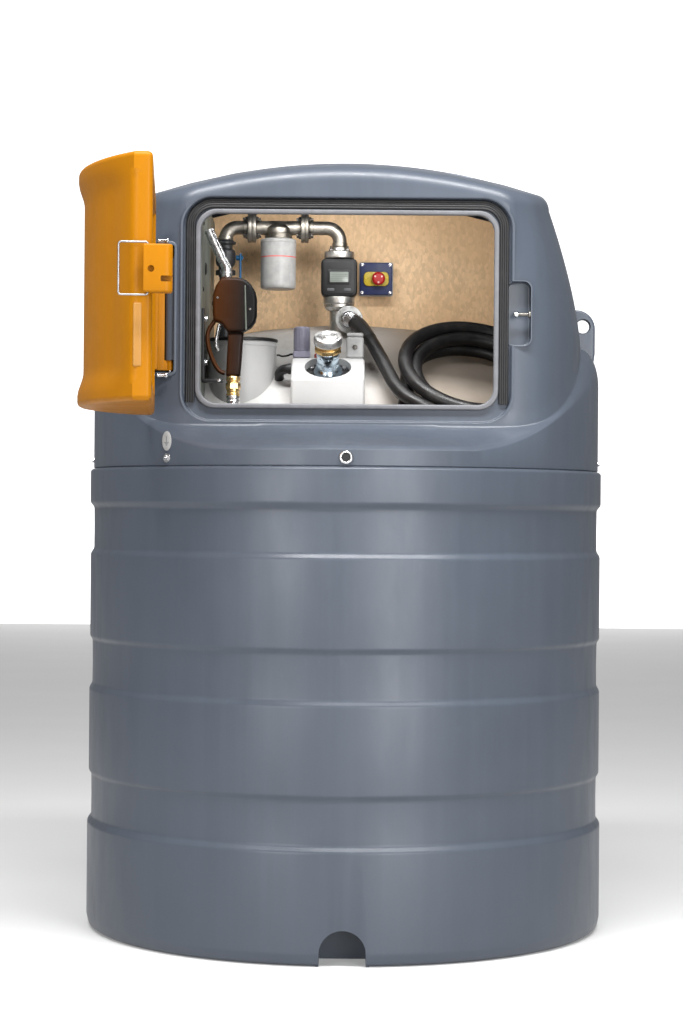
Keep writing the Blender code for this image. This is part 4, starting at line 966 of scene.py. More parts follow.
def hood_rings(steps):
    """The hood's outside as rings of points, from the skirt's foot to the middle of the roof."""
    seam_z = 1.1471
    front_top = 1.185      # the skirt's top in front, and on the sides
    side_top = 1.362
    front_base = 1.250     # the cabin's foot in front, and on the sides
    side_base = 1.456
    shoulder = 10          # steps of the shoulder, the cabin's side, the roof's edge and the roof
    wall = 12
    edge_steps = 7
    edge_drop = 0.030
    roof_scales = (0.80, 0.62, 0.42, 0.22, 0.08)
    rings = [[] for _ in range(2 + shoulder + 1 + wall + edge_steps + len(roof_scales))]
    for i in range(steps):
        angle = 2 * pi * i / steps
        from_front = degrees(atan2(abs(cos(angle)), -sin(angle)))
        skirt_top = front_top + (side_top - front_top) * smooth_step(from_front, 27, 80)
        base_z = front_base + (side_base - front_base) * smooth_step(from_front, 42, 82)
        way = Vector((cos(angle), sin(angle), 0))
        column = [way * (SKIRT_R - 0.002) + Vector((0, 0, seam_z)),
                  way * SKIRT_R + Vector((0, 0, seam_z + 0.0024))]
        base_r = cabin_radius(angle, base_z)
        front = 1 - smooth_step(from_front, 50, 84)
        for k, a in enumerate(quarter(shoulder)):
            inward = (1 - cos(a)) * (1 - front) + smooth_step(k, 0, shoulder) * front
            upward = sin(a) * (1 - front) + k / shoulder * front
            r = SKIRT_R - (SKIRT_R - base_r) * inward
            column.append(way * r + Vector((0, 0, skirt_top + (base_z - skirt_top) * upward)))
        for k in range(1, wall + 1):
            z = base_z
            for _ in range(5):
                edge = way * cabin_radius(angle, z)
                z = base_z + (roof(edge.x, edge.y) - edge_drop - base_z) * k / wall
            column.append(Vector((edge.x, edge.y, z)))
        rim = column[-1]
        for a in quarter(edge_steps)[1:]:
            scale = 1 - 0.045 * (1 - cos(a))
            x = rim.x * scale
            y = rim.y * scale
            column.append(Vector((x, y, roof(x, y) - edge_drop * (1 - sin(a)))))
        for scale in roof_scales:
            column.append(Vector((rim.x * scale, rim.y * scale, roof(rim.x * scale, rim.y * scale))))
        for ring, point in zip(rings, column):
            ring.append(point)
    return rings


def lug_outline(side):
    """The lifting lug's outline, on the right for side 1 and on the left for side -1."""
    outer = 0.632
    top = 1.561
    foot = 1.40
    round_r = 0.048
    points = [(0.560, foot), (outer - 0.006, foot), (outer, foot + 0.05)]
    for a in quarter(12):
        points.append((outer - round_r + round_r * cos(a), top - round_r + round_r * sin(a)))
    points.append((0.555, top))
    return [(side * x, z) for x, z in points]


def rim_ring(profile):
    """A ring round the opening, lofted through its section's points of half width and depth."""
    half_out, low_out, high_out, radius = MOUTH
    half_in, low_in, high_in = MOUTH_INSIDE
    rings = []
    for half, y in profile:
        inset = half_out - half
        share = inset / (half_out - half_in)
        low = low_out + share * (low_in - low_out)
        high = high_out + share * (high_in - high_out)
        corners = rounded_rectangle(-half, half, low, high, radius - inset * 0.65, 10)
        rings.append([(x, y, arched(x, z)) for x, z in corners])
    mesh, first, last = lofted(rings)
    bmesh.ops.bridge_loops(mesh, edges=first + last)
    return Shape().add(mesh)


class TANK_OT_hood(bpy.types.Operator):
    """Builds the moulded hood with its lugs, and the recessed frame round its opening"""
    bl_idname = "tank.hood"
    bl_label = "Hood"

    def execute(self, context):
        hood = self.shell(context.scene.tank_look.round_steps)
        half, low, high, radius = MOUTH
        mouth = [(x, arched(x, z)) for x, z in rounded_rectangle(-half, half, low, high, radius, 10)]
        hood.carve(Shape().plate(mouth, 0.2, (0, FACE_Y, 0)))
        hood.carve(Shape().tablet(POCKET, 0.018, FACE_Y + 0.005, 0.050, steps=6))
        hood.carve(Shape().tablet(BAY, 0.006, FACE_Y + 0.010, 0.200, steps=4))
        hood.piece("moulded_hood", "slate_plastic", "slate_polyethylene", "hood", sharp=30)
        self.opening_frame()
        self.lip()
        self.stud_pocket()
        self.lugs()
        self.hinge_bay()
        self.hinge_bolts()
        return {"FINISHED"}

    def shell(self, steps):
        """The hood's skin, its flat face made one polygon, with its wall's thickness."""
        mesh, _, last = lofted(hood_rings(steps))
        bmesh.ops.holes_fill(mesh, edges=last, sides=0)
        bmesh.ops.remove_doubles(mesh, verts=mesh.verts, dist=0.00002)
        bmesh.ops.recalc_face_normals(mesh, faces=mesh.faces)
        flat = [f for f in mesh.faces if all(abs(v.co.y - FACE_Y) < 0.0001 for v in f.verts)]
        bmesh.ops.dissolve_faces(mesh, faces=flat)
        skin = Shape(mesh).object("skin")
        wall = skin.modifiers.new("wall", "SOLIDIFY")
        wall.thickness = 0.009
        wall.offset = -1
        return Shape().take(skin)

    def opening_frame(self):
        """The recess that the door closes into: its rounded rim, its side and its floor."""
        rim_r = 0.0045
        foot_r = 0.004
        half = MOUTH[0]
        edge = half - 0.002
        floor = FACE_Y + RECESS_DEPTH
        back = FACE_Y + 0.0395
        profile = [(half, FACE_Y), (edge, FACE_Y)]
        profile += [(edge - rim_r * sin(a), FACE_Y + rim_r * (1 - cos(a))) for a in quarter(5)[1:]]
        for a in quarter(4):
            profile.append((edge - rim_r - foot_r * (1 - cos(a)), floor - foot_r + foot_r * sin(a)))
        profile += [(0.3606, floor), (0.3606, back), (half, back)]
        shape = rim_ring(profile)
        shape.carve(Shape().tablet((0.3805, *POCKET[1:]), 0.006, FACE_Y + 0.005, 0.100, steps=4))
        shape.piece("opening_frame", "slate_plastic", "slate_polyethylene", sharp=50)

    def lip(self):
        """The raised lip of the opening, in a grey lighter than the hood's: painted light on its rim."""
        floor = FACE_Y + RECESS_DEPTH
        back = FACE_Y + 0.0390
        lip = rim_ring([(0.3604, back), (0.3604, floor - 0.0070), (0.3596, floor - 0.0092),
                        (0.3580, floor - 0.0100), (0.3516, floor - 0.0100), (0.3494, floor - 0.0090),
                        (0.3482, floor - 0.0065), (0.3480, floor - 0.0030), (0.3484, floor + 0.0060),
                        (0.3540, floor + 0.0150), (0.3560, back)])
        lip.piece("mouth_lip", "lip_grey_painted_light", "slate_polyethylene", sharp=50)

    def stud_pocket(self):
        """The cup in which the lock stud stands, open towards the recess."""
        cup = Shape().tablet((0.3775, 0.4385, 1.4375, 1.5945), 0.020, FACE_Y + 0.0210, 0.038, steps=6)
        cup.carve(Shape().tablet((0.3795, *POCKET[1:]), 0.018, FACE_Y + 0.007, 0.060, 0.005, 4, 6))
        cup.carve(Shape().block((0.370, FACE_Y - 0.010, 1.430), (0.3965, FACE_Y + 0.0158, 1.600)))
        cup.piece("stud_pocket", "slate_plastic", "slate_polyethylene", sharp=40)

    def lugs(self):
        """The two lifting lugs."""
        y = 0.004
        for side, name in ((-1, "left"), (1, "right")):
            shape = Shape().plate(lug_outline(side), 0.0256, (0, y, 0), soft=0.006, segments=4)
            hole = [(0.023, 0.02), (0.017, 0.0075), (0.017, -0.0075), (0.023, -0.02)]
            shape.carve(Shape().turn(hole, (side * 0.601, y, 1.519), FRONT, 32))
            shape.piece(f"lifting_lug_{name}", "slate_plastic", "slate_polyethylene", sharp=40)

    def hinge_bay(self):
        """The bay that the hinge sits in, with the round column that fills its middle."""
        left, right, low, high = BAY
        rim = (left - 0.015, right + 0.0075, low - 0.010, high + 0.010)
        bay = Shape().tablet(rim, 0.018, FACE_Y + 0.049, 0.092, 0.004, steps=6)
        bay.carve(Shape().tablet(BAY, 0.006, FACE_Y + 0.004, 0.080, steps=4))
        radius = 0.0105
        foot = low + 0.0295
        top = high - 0.030
        core = Shape().rod(radius, top - foot, (HINGE.x, HINGE.y, foot), steps=32)
        core.join(Shape().block((HINGE.x, HINGE.y - radius, foot), (right + 0.003, -0.391, top)))
        bay.join(core)
        bay.piece("hinge_bay", "slate_plastic", "slate_polyethylene", sharp=40)

    def hinge_bolts(self):
        """The hinge's two pins, and the two bolts that lie across the face."""
        pins = Shape()
        for foot in (1.657, 1.366):
            pins.rod(0.0041, 0.019, (HINGE.x, HINGE.y, foot), steps=20)
        bolt = [(0.0030, 0.0260), (0.0060, 0.0245), (0.0062, 0.0205), (0.0050, 0.0195), (0.0042, 0.0190),
                (0.0042, 0.0030), (0.0052, 0.0020), (0.0052, 0)]
        for z in (1.6810, 1.3620):
            pins.turn(bolt, (-0.4490, FACE_Y - 0.0050, z), RIGHT, 24, 0.0004)
        pins.piece("hinge_bolts", "bolt_steel", "bright_steel", "hinge_bolt_top", "hinge_bolt_bottom")


def door_skin(x, z):
    """How far out the closed door's outer face lies at a point, from the hinge's axis."""
    left, right, low, high = DOOR
    middle = (left + right) / 2
    half = (right - left) / 2
    bulge = sqrt(DOOR_CROWN_R ** 2 - (x - middle) ** 2) - sqrt(DOOR_CROWN_R ** 2 - half ** 2)
    from_end = min(z - low, high - z)
    from_side = min(x - left, right - x)
    sink = 0.013 * smooth_step(from_end, 0.0225, 0.075) * smooth_step(from_side, 0.0, 0.10)
    return DOOR_BACK - DOOR_THICK - bulge + sink


class TANK_OT_door(bpy.types.Operator):
    """Builds the curved door with its ear, hinge web and wire hasp, swung open"""
    bl_idname = "tank.door"
    bl_label = "Door"

    def execute(self, context):
        moulding = self.panel().move(DOOR_TURN)
        moulding.join(self.leaf().move(DOOR_TURN))
        moulding.piece("door_moulding", "orange_plastic", "orange_polyethylene", "door_panel",
                       body="door", sharp=34)
        self.knuckles()
        self.ear()
        self.strip()
        self.hasp()
        return {"FINISHED"}

    def panel(self):
        """The crowned panel, its rim rounded, with a shallow pressed field on its inner side."""
        left, right, low, high = DOOR
        mesh = bmesh.new()
        bmesh.ops.create_grid(mesh, x_segments=56, y_segments=44, size=0.5)
        for vert in mesh.verts:
            x = left + (vert.co.x + 0.5) * (right - left)
            z = low + (vert.co.y + 0.5) * (high - low)
            vert.co = (x, door_skin(x, z), z)
        grown = bmesh.ops.extrude_face_region(mesh, geom=mesh.faces[:])
        for vert in grown["geom"]:
            if isinstance(vert, bmesh.types.BMVert):
                vert.co.y = DOOR_BACK
        bmesh.ops.recalc_face_normals(mesh, faces=mesh.faces)
        backs = [f for f in mesh.faces if f.normal.y > 0.99]
        bmesh.ops.dissolve_faces(mesh, faces=backs)
        bevel(mesh, creases(mesh, 55), 0.011, 5, True)
        back = [f for f in mesh.faces if f.normal.y > 0.99 and f.calc_area() > 0.1]
        bmesh.ops.inset_region(mesh, faces=back, thickness=0.030, depth=0.0)
        bmesh.ops.inset_region(mesh, faces=back, thickness=0.012, depth=-0.010)
        return Shape().add(mesh)

    def leaf(self):
        """The web between the panel and the hinge, with a tongue to each knuckle."""
        low, high = KNUCKLE_Z
        half = 0.006
        front = -0.0400
        leaf = Shape().block((-half, front, low), (0.052, -0.0285, high), 0.002, 2)
        leaf.join(Shape().block((-half, front, low), (half, -0.0130, high), 0.002, 2))
        for foot in (low, high - KNUCKLE_H):
            leaf.join(Shape().block((-0.005, -0.0200, foot), (0.005, 0.0, foot + KNUCKLE_H), 0.001, 2))
        return leaf

    def knuckles(self):
        """The two short knuckles round the pins."""
        shape = Shape()
        for low in (KNUCKLE_Z[0], KNUCKLE_Z[1] - KNUCKLE_H):
            high = low + KNUCKLE_H
            shape.turn([(0.0045, low), (0.0070, low), (0.0076, low + 0.0006), (0.0076, high - 0.0006),
                        (0.0070, high), (0.0045, high)], steps=32, closed=True)
        shape.move(DOOR_TURN)
        shape.piece("door_knuckle", "orange_plastic", "orange_polyethylene", body="door", sharp=40)

    def ear(self):
        """The block on the door's free edge that goes over the stud, with its slot, hole and hasp's bore."""
        inner = 0.772
        height = 0.0985
        middle_z = 1.5358
        heel_r = 0.014
        heel_x = EAR_SIDE - heel_r
        step_x, step_y = EAR_STEP
        outline = [(inner, EAR_FRONT), (EAR_SIDE, EAR_FRONT), (EAR_SIDE, -0.013)]
        for a in (0, 20, 40, 60, 80):
            outline.append((heel_x + heel_r * cos(radians(a)), -0.0075 + 0.0141 * sin(radians(a))))
        outline += [(heel_x, EAR_BACK), (inner, EAR_BACK)]
        ear = Shape().plate(outline, height, (0, 0, middle_z), "Z", 0.004, 4)
        ear.carve(Shape().block((0.760, step_y, 1.460), (step_x, 0.030, 1.610)))
        for low, high, half in (((0.810, -0.0175), 0.860, 0.006), ((0.807, -0.0215), 0.832, 0.010)):
            ear.carve(Shape().block((*low, STUD_Z - half), (high, 0.030, STUD_Z + half), 0.002, 2))
        hole = [(0.009, 0.03), (0.0075, 0.003), (0.0068, 0.0015), (0.0068, -0.011)]
        ear.carve(Shape().turn(hole, (EAR_SIDE, -0.0374, 1.534), RIGHT, 28))
        ear.carve(Shape().rod(0.0034, 0.14, BAIL + Vector((0, 0, 1.46)), steps=20))
        ear.move(DOOR_TURN)
        ear.piece("door_ear", "orange_plastic", "orange_polyethylene", body="door", sharp=34)

    def strip(self):
        """A pale strip low on the door's free edge: a painted highlight."""
        strip = Shape().block((0.7960, -0.0735, 1.337), (0.8045, -0.0555, 1.468), 0.0035, 3)
        strip.move(DOOR_TURN)
        strip.piece("door_highlight_strip", "orange_painted_highlight", "orange_polyethylene", body="door", sharp=40)

    def hasp(self):
        """The wire hasp, a rectangle with its two ends turned in to the ear's bore."""
        rise = 1.590
        drop = 1.482
        reach = -0.060
        upper = [(0, 1.568), (0, rise - 0.006), (-0.0012, rise - 0.0018), (-0.005, rise),
                 (reach + 0.006, rise), (reach + 0.0018, rise - 0.0012), (reach, rise - 0.005)]
        lower = [(reach, drop + 0.005), (reach + 0.0018, drop + 0.0012), (reach + 0.006, drop),
                 (-0.005, drop), (-0.0012, drop + 0.0018), (0, drop + 0.006), (0, 1.493)]
        line = [Vector((0, y, z)) for y, z in upper + lower]
        wire = Shape().pipe(line, 0.0021, 12, DOOR_TURN @ Matrix.Translation(BAIL))
        wire.piece("wire_hasp", "wire_steel", "bright_steel", "door_bail", body="bail", sharp=50)


class TANK_OT_hood_fittings(bpy.types.Operator):
    """Builds the seal, lock stud, seam bolts, earth bolt with its plate, and the plug in the front"""
    bl_idname = "tank.hood_fittings"
    bl_label = "Hood fittings"

    def execute(self, context):
        self.seal()
        self.stud()
        self.seam_bolts()
        self.earth()
        self.front_plug()
        return {"FINISHED"}

    def seal(self):
        """The seal on the recess floor: four ridges side by side, round the top and both sides."""
        foot = 1.300
        y = FACE_Y + RECESS_DEPTH - 0.0042
        shape = Shape()
        for ridge in range(4):
            half = 0.3802 - ridge * 0.0052
            top = 1.7908 - ridge * 0.0054
            radius = 0.058 - ridge * 0.0052
            line = [(half, foot), (half, foot + 0.1)]
            line += [(half - radius + radius * cos(a), top - radius + radius * sin(a)) for a in quarter(12)]
            line += [(-x, z) for x, z in reversed(line)]
            shape.pipe([(x, y, arched(x, z)) for x, z in line], 0.0036, 12)
        shape.piece("ridged_seal", "seal_rubber", "black_rubber", "door_seal", sharp=60)

    def stud(self):
        """The lock stud: a ball on a shaft painted dark as shade."""
        ball = [(0, 0.041), (0.0040, 0.0405), (0.0070, 0.038), (0.0078, 0.0345), (0.0070, 0.030),
                (0.0045, 0.028), (0.0030, 0.027)]
        stud = Shape().turn(ball, STUD_FOOT, LEFT, 28, 0.0007)
        stud.piece("locking_stud", "bolt_steel", "bright_steel", "lock_stud")
        side = [(0.0044, 0.0285), (0.0044, 0.006), (0.009, 0.005), (0.009, 0)]
        # painted shade: the shaft is given dark steel so that it looks shaded
        shaft = Shape().turn(side, STUD_FOOT, LEFT, 28, 0.0007)
        shaft.piece("stud_shaft_painted_shade", "dark_steel", "bright_steel")

    def seam_bolts(self):
        """The two bolts through the seam at the sides."""
        bolts = Shape()
        for side in (-1, 1):
            bolts.bolt((side * ON_SKIRT, 0, 1.169), (side, 0, 0), 0.0125, 0.0075)
        bolts.piece("seam_bolts", "bolt_steel", "bright_steel", "seam_bolt_left", "seam_bolt_right")

    def earth(self):
        """The earth bolt, and over it an oval tag with the sign of an earth point."""
        away = radians(41.25)
        out = Vector((-sin(away), -cos(away), 0))
        foot = out * ON_SKIRT + Vector((0, 0, 1.166))
        earth = Shape().bolt(foot, out, 0.0115, 0.006)
        earth.turn([(0, 0.0095), (0.0028, 0.0093), (0.0034, 0.0085), (0.0034, 0.006)], foot, out, 20)
        earth.piece("earthing_bolt", "bolt_steel", "bright_steel", "earth_bolt")
        middle = foot + out * 0.0002 + Vector((0, 0, 0.040))
        place = Matrix.Translation(middle) @ Matrix.Rotation(-away, 4, "Z")
        outline = [(x * 0.015, z * 0.023) for x, z in circle(0, 0, 1, 40)]
        plate = Shape().plate(outline, 0.0014, (0, -0.0005, 0), "Y", 0.0004, 2, place)
        plate.piece("earth_tag", "tag_white", "white_paint", "earth_plate")
        marks = Shape()
        for half, low, high in ((0.0008, -0.002, 0.011), (0.008, -0.0042, -0.0028),
                                (0.0055, -0.0074, -0.0060), (0.003, -0.0106, -0.0092)):
            marks.block((-half, -0.00155, low), (half, -0.0010, high), 0.0001, 1, place)
        marks.piece("earth_mark", "ink_grey", "black_plastic")

    def front_plug(self):
        """The ring and dark mesh of the vent in the skirt's front."""
        foot = (0, -ON_SKIRT, 1.167)
        ring = [(0.0100, 0.0042), (0.0108, 0.0078), (0.0134, 0.0080), (0.0160, 0.0052), (0.0160, 0.0)]
        plug = Shape().turn(ring, foot, FRONT, 40, 0.0008)
        plug.piece("front_vent", "vent_steel", "bright_steel", "front_plug")
        dark = Shape().turn([(0, 0.0056), (0.0094, 0.0052), (0.0098, 0.0043)], foot, FRONT, 32)
        dark.piece("front_vent_mesh", "seal_rubber", "black_rubber")


def elbow(corner, start, end, bend):
    """A quarter bend between two points that lie on the two arms of a corner, with beaded ends."""
    radius = 0.0176
    bead = 0.0018
    corner = Vector(corner)
    start = Vector(start)
    end = Vector(end)
    first = (start - corner).normalized()
    last = (end - corner).normalized()
    line = [corner + first * bend * (1 - sin(a)) + last * bend * (1 - cos(a)) for a in quarter(12)]
    shape = Shape().pipe([start, *line, end], radius, 28)
    section = [(radius - 0.003, 0), (radius + bead, 0), (radius + bead, 0.012), (radius - 0.003, 0.012)]
    for foot, axis in ((start, -first), (end, -last)):
        shape.turn(section, foot, axis, 32, 0.0016, True)
    return shape


class TANK_OT_pipework(bpy.types.Operator):
    """Builds the suction riser and valve, the filter and its flanges, the flow meter and the outlet"""
    bl_idname = "tank.pipework"
    bl_label = "Pipework"

    def execute(self, context):
        iron = metal("weathered_pipe", (0.34, 0.315, 0.275), 0.38, 0.30, 32, 0.0006, dirt=(0.10, 0.08, 0.055))
        self.flanges(iron, "left", -0.2550, -0.2330)
        self.flanges(iron, "right", -0.1190, -0.0997)
        self.elbows(iron)
        self.valve()
        self.lever()
        self.filter(iron)
        self.cartridge()
        self.meter_top()
        self.meter()
        self.meter_foot()
        self.outlet()
        return {"FINISHED"}

    def flanges(self, iron, side, low, high):
        """A pair of flanges on the pipe, with studs and nuts."""
        radius = 0.038
        bolt_r = 0.029
        middle = (low + high) / 2
        gap = 0.0008
        shape = Shape()
        for a, b in ((low, middle - gap), (middle + gap, high)):
            shape.rod(radius, b - a, (a, 0, PIPE_Z), RIGHT, 48, 0.0014)
        shape.rod(radius - 0.0015, 0.0020, (middle - 0.001, 0, PIPE_Z), RIGHT, 40)
        shape.piece(f"flange_pair_{side}", iron, "grey_pipe", f"pipe_flange_{side}")
        studs = Shape()
        for x, axis in ((low, LEFT), (high, RIGHT)):
            studs.bolts_round((x, 0, PIPE_Z), axis, bolt_r, 4, 0.0105, 0.0065, radians(45))
            seat = aimed((x, 0, PIPE_Z), axis)
            for a, b in circle(0, 0, bolt_r, 4, radians(45)):
                end = [(0.0022, 0.006), (0.0028, 0.0054), (0.0028, 0)]
                studs.turn(end, seat @ Vector((a, b, 0.006)), axis, 14)
        studs.piece(f"flange_studs_{side}", "dark_steel", "grey_pipe")

    def elbows(self, iron):
        """The two quarter bends with their beads."""
        riser = elbow((RISER_X, 0, PIPE_Z), (RISER_X, 0, 1.7322), (-0.2553, 0, PIPE_Z), 0.030)
        riser.piece("riser_elbow", iron, "grey_pipe", "left_elbow")
        meter = elbow((-0.020, 0, PIPE_Z), (-0.0994, 0, PIPE_Z), (-0.020, 0, 1.7160), 0.034)
        meter.piece("meter_elbow", iron, "grey_pipe", "right_elbow")

    def valve(self):
        """The ball valve on the riser with its union nuts."""
        body = Shape()
        body.turn([(0.021, 1.7315), (0.0235, 1.727), (0.0235, 1.722), (0.018, 1.720), (0.018, 1.710),
                   (0.0235, 1.706), (0.0255, 1.698), (0.0255, 1.678), (0.0235, 1.670), (0.018, 1.664),
                   (0.018, 1.640), (0.0155, 1.638), (0.0155, 1.395)], (RISER_X, 0, 0), steps=40, soft=0.0012)
        for low, high in ((1.7215, 1.7290), (1.6430, 1.6560)):
            body.plate(circle(RISER_X, 0, 0.0255, 6), high - low, (0, 0, (low + high) / 2), "Z", 0.0012, 2)
        black = plastic("valve_black", (0.02, 0.02, 0.022), 0.4)
        body.piece("ball_valve", black, "black_plastic", "suction_valve")

    def lever(self):
        """The valve's blue lever, hanging down."""
        z = 1.688
        half = [(-0.010, 0.011), (-0.0105, -0.040), (-0.0085, -0.052), (-0.0095, -0.070), (-0.0065, -0.0755)]
        arm = half + [(-y, height) for y, height in reversed(half)]
        lever = Shape().plate(arm, 0.0052, (-0.273, 0, z), "X", 0.0018, 3)
        lever.rod(0.0066, 0.0145, (-0.2846, 0, z), RIGHT, 24, 0.0008)
        lever.bolt((-0.2705, 0, z), RIGHT, 0.009, 0.0045, False)
        blue = plastic("lever_blue", (0.008, 0.075, 0.17), 0.45)
        lever.piece("lever_arm", blue, "blue_plastic", "valve_lever", body="lever")

    def filter(self, iron):
        """The filter's head with its ribbed collar."""
        head = Shape().rod(0.0178, 0.1134, (-0.2327, 0, PIPE_Z), RIGHT, 40, 0.001)
        head.turn([(0.014, 0.030), (0.024, 0.024), (0.0335, 0.016), (0.0335, 0.0)], (FILTER_X, 0, 1.7480),
                  soft=0.003)
        ribs = [(0, 1.7500)]
        for i in range(4):
            z = 1.7490 - i * 0.0034
            ribs += [(0.0350, z), (0.0350, z - 0.0018), (0.0330, z - 0.0023), (0.0330, z - 0.0030)]
        ribs += [(0.0350, 1.7363)]
        head.turn(ribs, (FILTER_X, 0, 0), steps=64, soft=0.0004)
        head.piece("filter_housing", iron, "grey_pipe", "filter_head")

    def cartridge(self):
        """The spin-on cartridge with a thin red line round it."""
        axis_foot = (FILTER_X, 0, 0)
        side = [(0.0435, 1.7358), (0.0460, 1.7310), (0.0460, 1.7265), (0.0452, 1.7255), (0.0452, 1.6160),
                (0.0425, 1.6095), (0.036, 1.6080)]
        can = Shape().turn(side, axis_foot, steps=72, soft=0.0022)
        can.piece("filter_can", "enamel_white", "white_paint", "filter_cartridge")
        band = [(0.0449, 1.6905), (0.04545, 1.6905), (0.04545, 1.6880), (0.0449, 1.6880)]
        line = Shape().turn(band, axis_foot, steps=72, closed=True)
        line.piece("filter_can_line", plastic("ink_red", (0.62, 0.10, 0.09), 0.4), "red_plastic")

    def meter_top(self):
        """The flange over the meter, with its studs."""
        bolt_r = 0.0305
        side = [(0.022, 1.7155), (0.0225, 1.7060), (0.0385, 1.7045), (0.0385, 1.6872)]
        flange = Shape().turn(side, (METER_X, 0, 0), steps=56, soft=0.0018)
        flange.piece("meter_upper_flange", "cast_aluminium", "grey_pipe", "meter_top_flange")
        studs = Shape().bolts_round((METER_X, 0, 1.7043), UP, bolt_r, 4, 0.0085, 0.0055, radians(45))
        for x, y in circle(METER_X, 0, bolt_r, 4, radians(45)):
            studs.turn([(0.0018, 0.0085), (0.0024, 0.0078), (0.0024, 0)], (x, y, 1.7095), UP, 14)
        studs.piece("meter_studs", "dark_steel", "bright_steel")

    def meter_foot(self):
        """The flange under the meter, with its nuts."""
        side = [(0.0400, 1.5888), (0.0400, 1.5720), (0.0370, 1.5705), (0.0370, 1.5620), (0.0300, 1.5560),
                (0.0270, 1.5545)]
        flange = Shape().turn(side, (METER_X, 0, 0), steps=56, soft=0.0018)
        flange.piece("meter_lower_flange", "cast_aluminium", "grey_pipe", "meter_bottom_flange")
        nuts = Shape().bolts_round((METER_X, 0, 1.5718), DOWN, 0.0335, 6, 0.0075, 0.0050)
        nuts.piece("meter_nuts", "dark_steel", "bright_steel")

    def meter(self):
        """The flow meter: rounded body, bezel, window and keys."""
        face = -0.0343
        body = Shape()
        body.tablet(about(METER_X, 0.046, 1.5892, 1.6865), 0.014, 0, 0.060, 0.0055, 5, 8)
        body.tablet(about(METER_X, 0.0405, 1.5955, 1.6805), 0.010, -0.0315, 0.0045, 0.0015, 3, 6)
        body.tablet(about(METER_X, 0.029, 1.6195, 1.6565), 0.004, face, 0.0030, 0.0009, 2)
        body.piece("meter_case", "case_black", "black_plastic", "meter_body")
        pane = Shape().tablet(about(METER_X, 0.0235, 1.6245, 1.6510), 0.0022, -0.0358, 0.0022, 0.0006, 2, 4)
        pane.piece("meter_window", glass_window(), "grey_green_panel", "meter_display")
        keys = Shape()
        for x in (METER_X - 0.021, METER_X + 0.021):
            keys.tablet(about(x, 0.0095, 1.6025, 1.6095), 0.0033, face, 0.0030, 0.0010, 2)
        keys.piece("meter_keys", plastic("key_grey", (0.075, 0.078, 0.082), 0.45), "black_plastic")

    def outlet(self):
        """The outlet casting with its round plate, six holes and a dark gasket."""
        x, z = OUTLET
        radius = 0.0240
        body = Shape().rod(radius, 0.1142, (METER_X, 0, 1.440), steps=36, soft=0.002)
        body.rod(radius, 0.045, (0.002, 0.004, z), FRONT, 36, 0.002)
        body.piece("outlet_casting", "cast_aluminium", "grey_pipe", "outlet_pipe")
        plate = Shape().turn([(0.0240, 0.0110), (0.0250, 0.0080), (0.0342, 0.0075), (0.0350, 0.0065),
                              (0.0350, 0)], (x, -0.0413, z), FRONT, 56, 0.0007)
        for a, b in circle(x, z, 0.0295, 6, radians(20)):
            plate.carve(Shape().turn([(0.0027, 0), (0.0027, 0.012)], (a, -0.0560, b), BACK, 16))
        bright = metal("bright_casting", (0.40, 0.40, 0.39), 0.45, 0.2, 60)
        plate.piece("outlet_flange", bright, "aluminium", "outlet_plate")
        gap = Shape().rod(0.0338, 0.0006, (x, -0.0421, z), FRONT, 40)
        gap.piece("outlet_gasket", "seal_rubber", "black_rubber")


